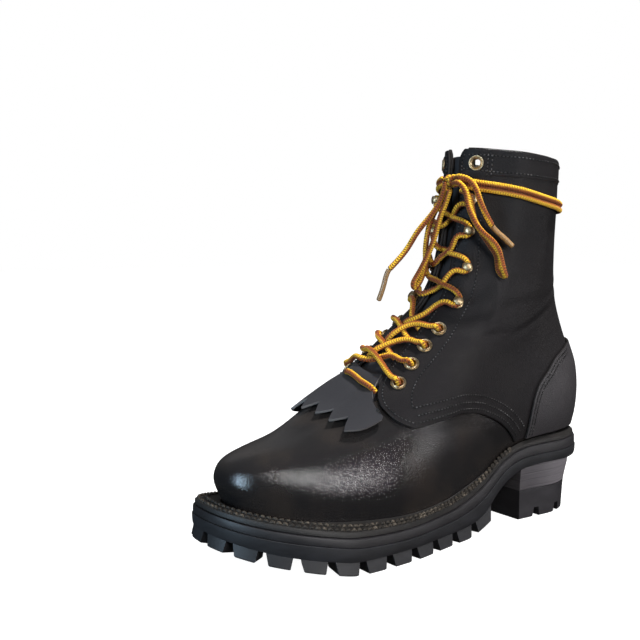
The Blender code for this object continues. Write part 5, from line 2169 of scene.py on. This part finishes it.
    def aglet(self, name: str, spots: Sequence[Hang | Air]) -> Piece:
        """Sealed end of a lace: a smooth tube with a blunt tip.

        Args:
            name: the piece's and the solid's name.
            spots: places along it, from the lace on.

        Returns:
            The dressed piece.
        """
        path = self.route(spots)
        blunt = np.clip((np.linspace(0, 1, len(path)) - 0.955) / 0.045, 0, 1)
        radius = 0.92 * self.radius * np.sqrt(np.clip(1 - blunt**2, 0.02, 1))
        grid = tube_grid(path, radius[:, None], self.outward(path), self.around)[:, :-1]
        obj = make_object(name, grid, grid_faces(len(path), self.around, True), 60.0)
        return settle(obj, "aglet", (self.finishes.tip,), name)

    def dress(self) -> None:
        """Builds every length of lace."""
        groups = {
            "lace_bar": [self.route(BAR)], **self.crossings(),
            "lace_hooked": [self.hooked(side) for side in Side], "lace_wrap": self.wrap(),
        }
        for node, paths in groups.items():
            for letter, path, band in zip("ab", paths, BANDS[node]):
                name = node if len(paths) == 1 else f"{node}_{letter}"
                settle(self.strand(name, path, band), "lace", (self.finishes.braid,), node)
        self.free("lace_knot", self.knot(), 0.1, "taut")
        self.free("lace_loop_left", self.route(LEFT_LOOP), 0.2)
        self.free("lace_loop_right", self.route(RIGHT_LOOP), 0.9)
        tip = self.aglet("aglet_left", LEFT_END[-1:] + LEFT_AGLET)
        self.free("lace_end_left", self.route(LEFT_END), 0.05, tip=tip)
        tip = self.aglet("aglet_right", RIGHT_END[-1:] + RIGHT_AGLET)
        self.free("lace_end_right", self.route(RIGHT_END), 0.3, tip=tip)


class Stitch(NamedTuple):
    """Kind of stitch: distance to the next, share that shows, the thread's radius, depth of its ends."""

    pitch: float
    share: float
    radius: float
    sink: float


@dataclass
class Stitching(SubAssembly):
    """Rows of stitches: short threads that dip into the leather at both ends, with ovals of painted shade at
    the needle holes.
    """

    fine: Stitch = Stitch(2.6, 0.66, 0.42, 0.35)
    chunky: Stitch = Stitch(3.9, 1.0, 1.0, 0.5)
    line_lift: float = 0.05
    # half sizes and lift of the flat ovals of painted shade at the needle holes
    hole: Pair = (0.80, 0.52)
    hole_lift: float = 0.04
    tab_turn: float = 0.384

    def frames(self, line: Array, out: Array, at: Array) -> tuple[Array, Array, Array, Array]:
        """Places along a line, with their directions.

        Args:
            line: points of the line.
            out: outward direction at each point.
            at: lengths along the line.

        Returns:
            The points, and the directions along the line, across it and outwards.
        """
        reach, step = lengths(line), 0.3
        along = unit(along_line(at + step, reach, line) - along_line(at - step, reach, line))
        up = along_line(at, reach, out)
        return along_line(at, reach, line), along, unit(np.cross(along, up)), up

    def row(self, line: Array, out: Array, stitch: Stitch) -> tuple[Array, Array]:
        """Stitches along a line.

        Args:
            line: points of the row on the leather.
            out: outward direction at each point.
            stitch: the kind of stitch.

        Returns:
            Points and quads of all the stitches.
        """
        total = lengths(line)[-1]
        count = max(1, int(total / stitch.pitch))
        middle, along, side, _ = self.frames(line, out, (np.arange(count) + 0.5) * total / count)
        up = np.cross(side, along)
        place, angle = np.linspace(-1, 1, 7), angles(6)
        swell = np.sqrt(np.clip(1 - np.abs(place) ** 3, 0.05, 1))[:, None]
        arch = stitch.radius * 0.55 * (1 - place**2) - stitch.sink * np.abs(place) ** 3
        ring_side = stitch.radius * swell * np.cos(angle)
        ring_up = stitch.radius * swell * np.sin(angle) + arch[:, None]
        half = stitch.share * stitch.pitch / 2
        points = (
            middle[:, None, None]
            + (half * place)[None, :, None, None] * along[:, None, None]
            + ring_side[None, ..., None] * side[:, None, None]
            + ring_up[None, ..., None] * up[:, None, None]
        )
        base = len(place) * len(angle) * np.arange(count)
        faces = grid_faces(len(place), len(angle), True) + base[:, None, None]
        return points.reshape(-1, 3), faces.reshape(-1, 4)

    def holes(self, line: Array, out: Array) -> tuple[Array, Array]:
        """Flat dark ovals of painted shade at the needle holes between the stitches of a line, each a ring
        filled by one face.

        Args:
            line: points of the row on the leather.
            out: outward direction at each point.

        Returns:
            Points and faces of all the ovals.
        """
        total = lengths(line)[-1]
        count = max(1, int(total / self.fine.pitch))
        middle, along, side, up = self.frames(line, out, np.arange(count + 1) * total / count)
        angle = angles(8)
        ring = self.hole[0] * np.cos(angle)[:, None] * along[:, None]
        ring = middle[:, None] + ring + self.hole[1] * np.sin(angle)[:, None] * side[:, None]
        points = ring + self.hole_lift * up[:, None]
        return points.reshape(-1, 3), np.arange(points.size // 3).reshape(-1, len(angle))

    def offset(self, turn: Array, rise: Array, distance: float) -> tuple[Array, Array]:
        """Line beside another at a distance over the form."""
        line = self.form.point(turn, rise)
        return self.form.stepped(turn, rise, unit(np.gradient(line, axis=0)), distance)

    def collar_lift(self, turn: Array) -> Array:
        """Lift of a row on the collar: on the band as far as its tab, then on the quarter."""
        return np.where(turn < self.tab_turn, BAND_LIFT, QUARTER_LIFT)

    def side_rows(self, side: Side) -> list[tuple[Array, Array, Array | float]]:
        """Rows on one side of the boot, as turns, rises and lifts.

        Args:
            side: which side.

        Returns:
            Lines on the facing, the quarter's lower edge, the counter, the collar and the back seam.
        """
        rise = np.linspace(FACING_FOOT + 0.006, 0.992, 160)
        rows = [(*self.offset(self.form.facing(rise), rise, 3.0), QUARTER_LIFT)]
        rise = np.linspace(FACING_STITCH[0].rise, FACING_STITCH[-1].rise, 120)
        rows.append((table_curve(FACING_STITCH, "rise", "turn", blur=0.02)(rise), rise, QUARTER_LIFT))
        low, ahead = np.linspace(0.03, SEAM_TOP, 70), np.linspace(0, 1, 30)[1:]
        bend, scale = float(self.form.seam(SEAM_TOP)), 400
        edge_turn = np.concatenate([self.form.seam(low), bend + (FACING[0].turn - bend) * ahead])
        edge_rise = np.concatenate([low, self.form.hem(ahead)])
        flat = np.stack([scale * edge_turn, scale * edge_rise, 0 * edge_rise], -1)
        smooth = splined(flat[::6], 1.0) / scale
        for distance in (3.2, 7.6, 12.6):
            turn, rise = self.offset(smooth[:, 0], smooth[:, 1], distance)
            inside = turn < self.form.facing(np.maximum(rise, FACING_FOOT)) - 0.010
            rows.append((turn[inside], rise[inside], QUARTER_LIFT))
        rise = np.linspace(0.03, 0.326, 80)
        for distance in (2.4, 5.2):
            rows.append((*self.offset(self.form.counter(rise), rise, distance), COUNTER_LIFT))
        turn = np.linspace(0.0, 0.452, 140)
        rows.append((turn, np.full(len(turn), COLLAR_RISE - 3.0 / COLLAR_MM), self.collar_lift(turn)))
        turn = np.linspace(0.0, BAND_EDGE[-1].turn, 140)
        low = table_curve(BAND_EDGE, "turn", "rise", blur=0.05)(turn)
        rows.append((turn, low + 2.2 / COLLAR_MM, self.collar_lift(turn)))
        for place in (0.377, 0.389):
            turn = np.full(20, place)
            rows.append((turn, np.linspace(0.945, 0.990, len(turn)), self.collar_lift(turn)))
        rows.append((np.full(100, 0.010), np.linspace(0.345, 0.93, 100), QUARTER_LIFT))
        return [(side.turn(turn), rise, lift) for turn, rise, lift in rows]

    def welt_rows(self) -> list[tuple[Array, Array]]:
        """Two chunky rows on the welt, from the waist round the toe and back.

        Returns:
            Points and quads of each row.
        """
        turns = np.linspace(0.178, 0.822, 500)
        out, inside = welt_edges(self.form, self.sole, turns)
        up = np.broadcast_to((0.0, 0.0, 1.0), (len(turns), 3))
        return [
            self.row(self.sole.at(out + share * (inside - out), "lip", change), up, self.chunky)
            for share, change in ((0.14, 0.10), (0.48, 1.50))
        ]

    def dress(self) -> None:
        """Joins the fine rows of each side into a piece and their ovals of painted shade into another, and
        the welt's rows into one more.
        """
        made = self.finishes
        for side in Side:
            lines = [
                (self.form.surface(turn, rise, lift + self.line_lift), self.form.normal(turn, rise))
                for turn, rise, lift in self.side_rows(side)
            ]
            stitches = joined([self.row(line, out, self.fine) for line, out in lines])
            # painted shade: flat near-black ovals where the thread enters the leather
            holes = joined([self.holes(line, out) for line, out in lines])
            for name, rows, finish in (("stitches", stitches, made.thread), ("holes", holes, made.hole)):
                settle(make_object(f"{name}_{side.value}", *rows, 80.0), "upper_leather", (finish,))
        rows = joined(self.welt_rows())
        settle(make_object("stitches_welt", *rows, 80.0), "edge_leather", (made.welt_thread,))


class Lamp(NamedTuple):
    """Soft light: place, aim and size in metres, watts, colour, roll in degrees, and if gloss mirrors it."""

    name: str
    at: Triple
    aim: Triple
    size: Pair
    power: float
    colour: Colour
    roll: float = 0.0
    mirrored: bool = True


LAMPS = (
    Lamp("overhead", (-0.36, 0.26, 1.28), (0, 0, 0.1), (0.1, 0.1), 32.0, (1, 0.99, 0.97), mirrored=False),
    Lamp("key", (0.16, 1.08, 0.42), (0.04, 0, 0.08), (1.6, 0.022), 12.0, (1, 0.98, 0.98), roll=-40.0),
    Lamp("toe_side", (1.2, 0.13, 0.2), (0.14, 0.01, 0.06), (0.28, 0.66), 11.0, (0.58, 0.8, 1)),
    Lamp("inner_side", (-0.3, -1.2, 0.5), (0, 0, 0.12), (0.8, 0.8), 4.0, (1, 1, 1), mirrored=False),
    Lamp("heel_side", (-0.45, 1.3, 0.3), (-0.08, 0, 0.1), (0.9, 0.9), 4.8, (1, 0.99, 1), mirrored=False),
    Lamp("low_sheen", (-0.9, 0.84, 0.08), (0, 0.04, 0.07), (0.6, 0.16), 1.5, (1, 0.98, 1)),
    Lamp("far_sheen", (-0.05, -1.0, 0.72), (0.1, 0, 0.07), (0.6, 0.4), 0.14, (1, 0.98, 1)),
)


@dataclass
class Studio:
    """Pale floor, soft lights and the camera."""

    eye: Triple = (411.0, 498.2, 210.9)
    aim: Triple = (48.9, -37.9, 147.1)
    focal_pixels: float = 941.5
    frame_pixels: float = 640.0
    sensor: float = 36.0
    floor_half: float = 4000.0

    def camera(self) -> None:
        """Camera at the photograph's angle to the boot."""
        data = bpy.data.cameras.new("camera")
        data.sensor_width = self.sensor
        data.lens = self.focal_pixels / self.frame_pixels * self.sensor
        data.clip_start = 0.01
        obj = bpy.data.objects.new("camera", data)
        eye, aim = Vector(self.eye) * MM, Vector(self.aim) * MM
        obj.location = eye
        obj.rotation_euler = (aim - eye).to_track_quat("-Z", "Y").to_euler()
        bpy.context.scene.collection.objects.link(obj)
        bpy.context.scene.camera = obj

    def light(self, lamp: Lamp) -> None:
        """Adds a soft light.

        Args:
            lamp: its row of the table.
        """
        data = bpy.data.lights.new(lamp.name, "AREA")
        data.shape = "RECTANGLE"
        data.size, data.size_y = lamp.size
        data.energy, data.color = lamp.power, lamp.colour
        obj = bpy.data.objects.new(lamp.name, data)
        obj.location = lamp.at
        turn = (Vector(lamp.aim) - Vector(lamp.at)).to_track_quat("-Z", "Y")
        obj.rotation_euler = (turn @ Quaternion((0, 0, 1), math.radians(lamp.roll))).to_euler()
        obj.visible_glossy = lamp.mirrored
        bpy.context.scene.collection.objects.link(obj)

    def floor(self) -> None:
        """Wide pale sheet under the boot."""
        corners = self.floor_half * np.array([(-1, -1, 0), (1, -1, 0), (1, 1, 0), (-1, 1, 0)])
        obj = make_object("floor", corners, [[0, 1, 2, 3]])
        paint = Paint("floor")
        paint.set(Base_Color=(0.30, 0.30, 0.30), Roughness=0.9)
        paint.set(Emission_Color=(1.0, 1.0, 1.0), Emission_Strength=0.97)
        obj.visible_diffuse = obj.visible_glossy = False
        obj.data.materials.append(paint.material)

    def world(self) -> None:
        """Pale surround: bright to the eye, and as light dim at the ground and stronger overhead."""
        world = bpy.data.worlds.new("surround")
        world.use_nodes = True
        nodes, white = Nodes(world.node_tree), (1.0, 1.0, 1.0)
        height = nodes.axis(nodes.node("TexCoord", output="Generated"), 2)
        light = nodes.tree.nodes["Background"]
        nodes.feed(light.inputs["Color"], white)
        strength = nodes.node("MapRange", {}, {0: height, 1: -0.15, 2: 0.60, 3: 0.035, 4: 0.12})
        nodes.feed(light.inputs["Strength"], strength)
        seen = nodes.node("Background", {}, {"Color": white, "Strength": 1.0})
        rays = nodes.node("LightPath", output="Is Camera Ray")
        mixed = nodes.node("MixShader", {}, {0: rays, 1: Sock(nodes, light.outputs[0]), 2: seen})
        nodes.feed(nodes.tree.nodes["World Output"].inputs["Surface"], mixed)
        bpy.context.scene.world = world

    def dress(self) -> None:
        """Sets the camera, the floor, the surround and the lights."""
        self.camera()
        self.floor()
        self.world()
        for lamp in LAMPS:
            self.light(lamp)
        bpy.context.scene.view_settings.view_transform = "Standard"


def main() -> None:
    """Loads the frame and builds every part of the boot's looks."""
    logging.basicConfig(level=logging.INFO, format="%(message)s")
    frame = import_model()
    log.info("%d solids", len(frame["nodes"]))
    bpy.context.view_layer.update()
    kit = (LastForm(), SoleShape(), Finishes())
    Studio().dress()
    Laces(*kit).dress()
    Upper(*kit).dress()
    for side in Side:
        Quarter(*kit, side).dress()
    for part in (Overlays, TongueSet, SoleSet, Fittings, Stitching):
        part(*kit).dress()


if __name__ == "__main__":
    main()
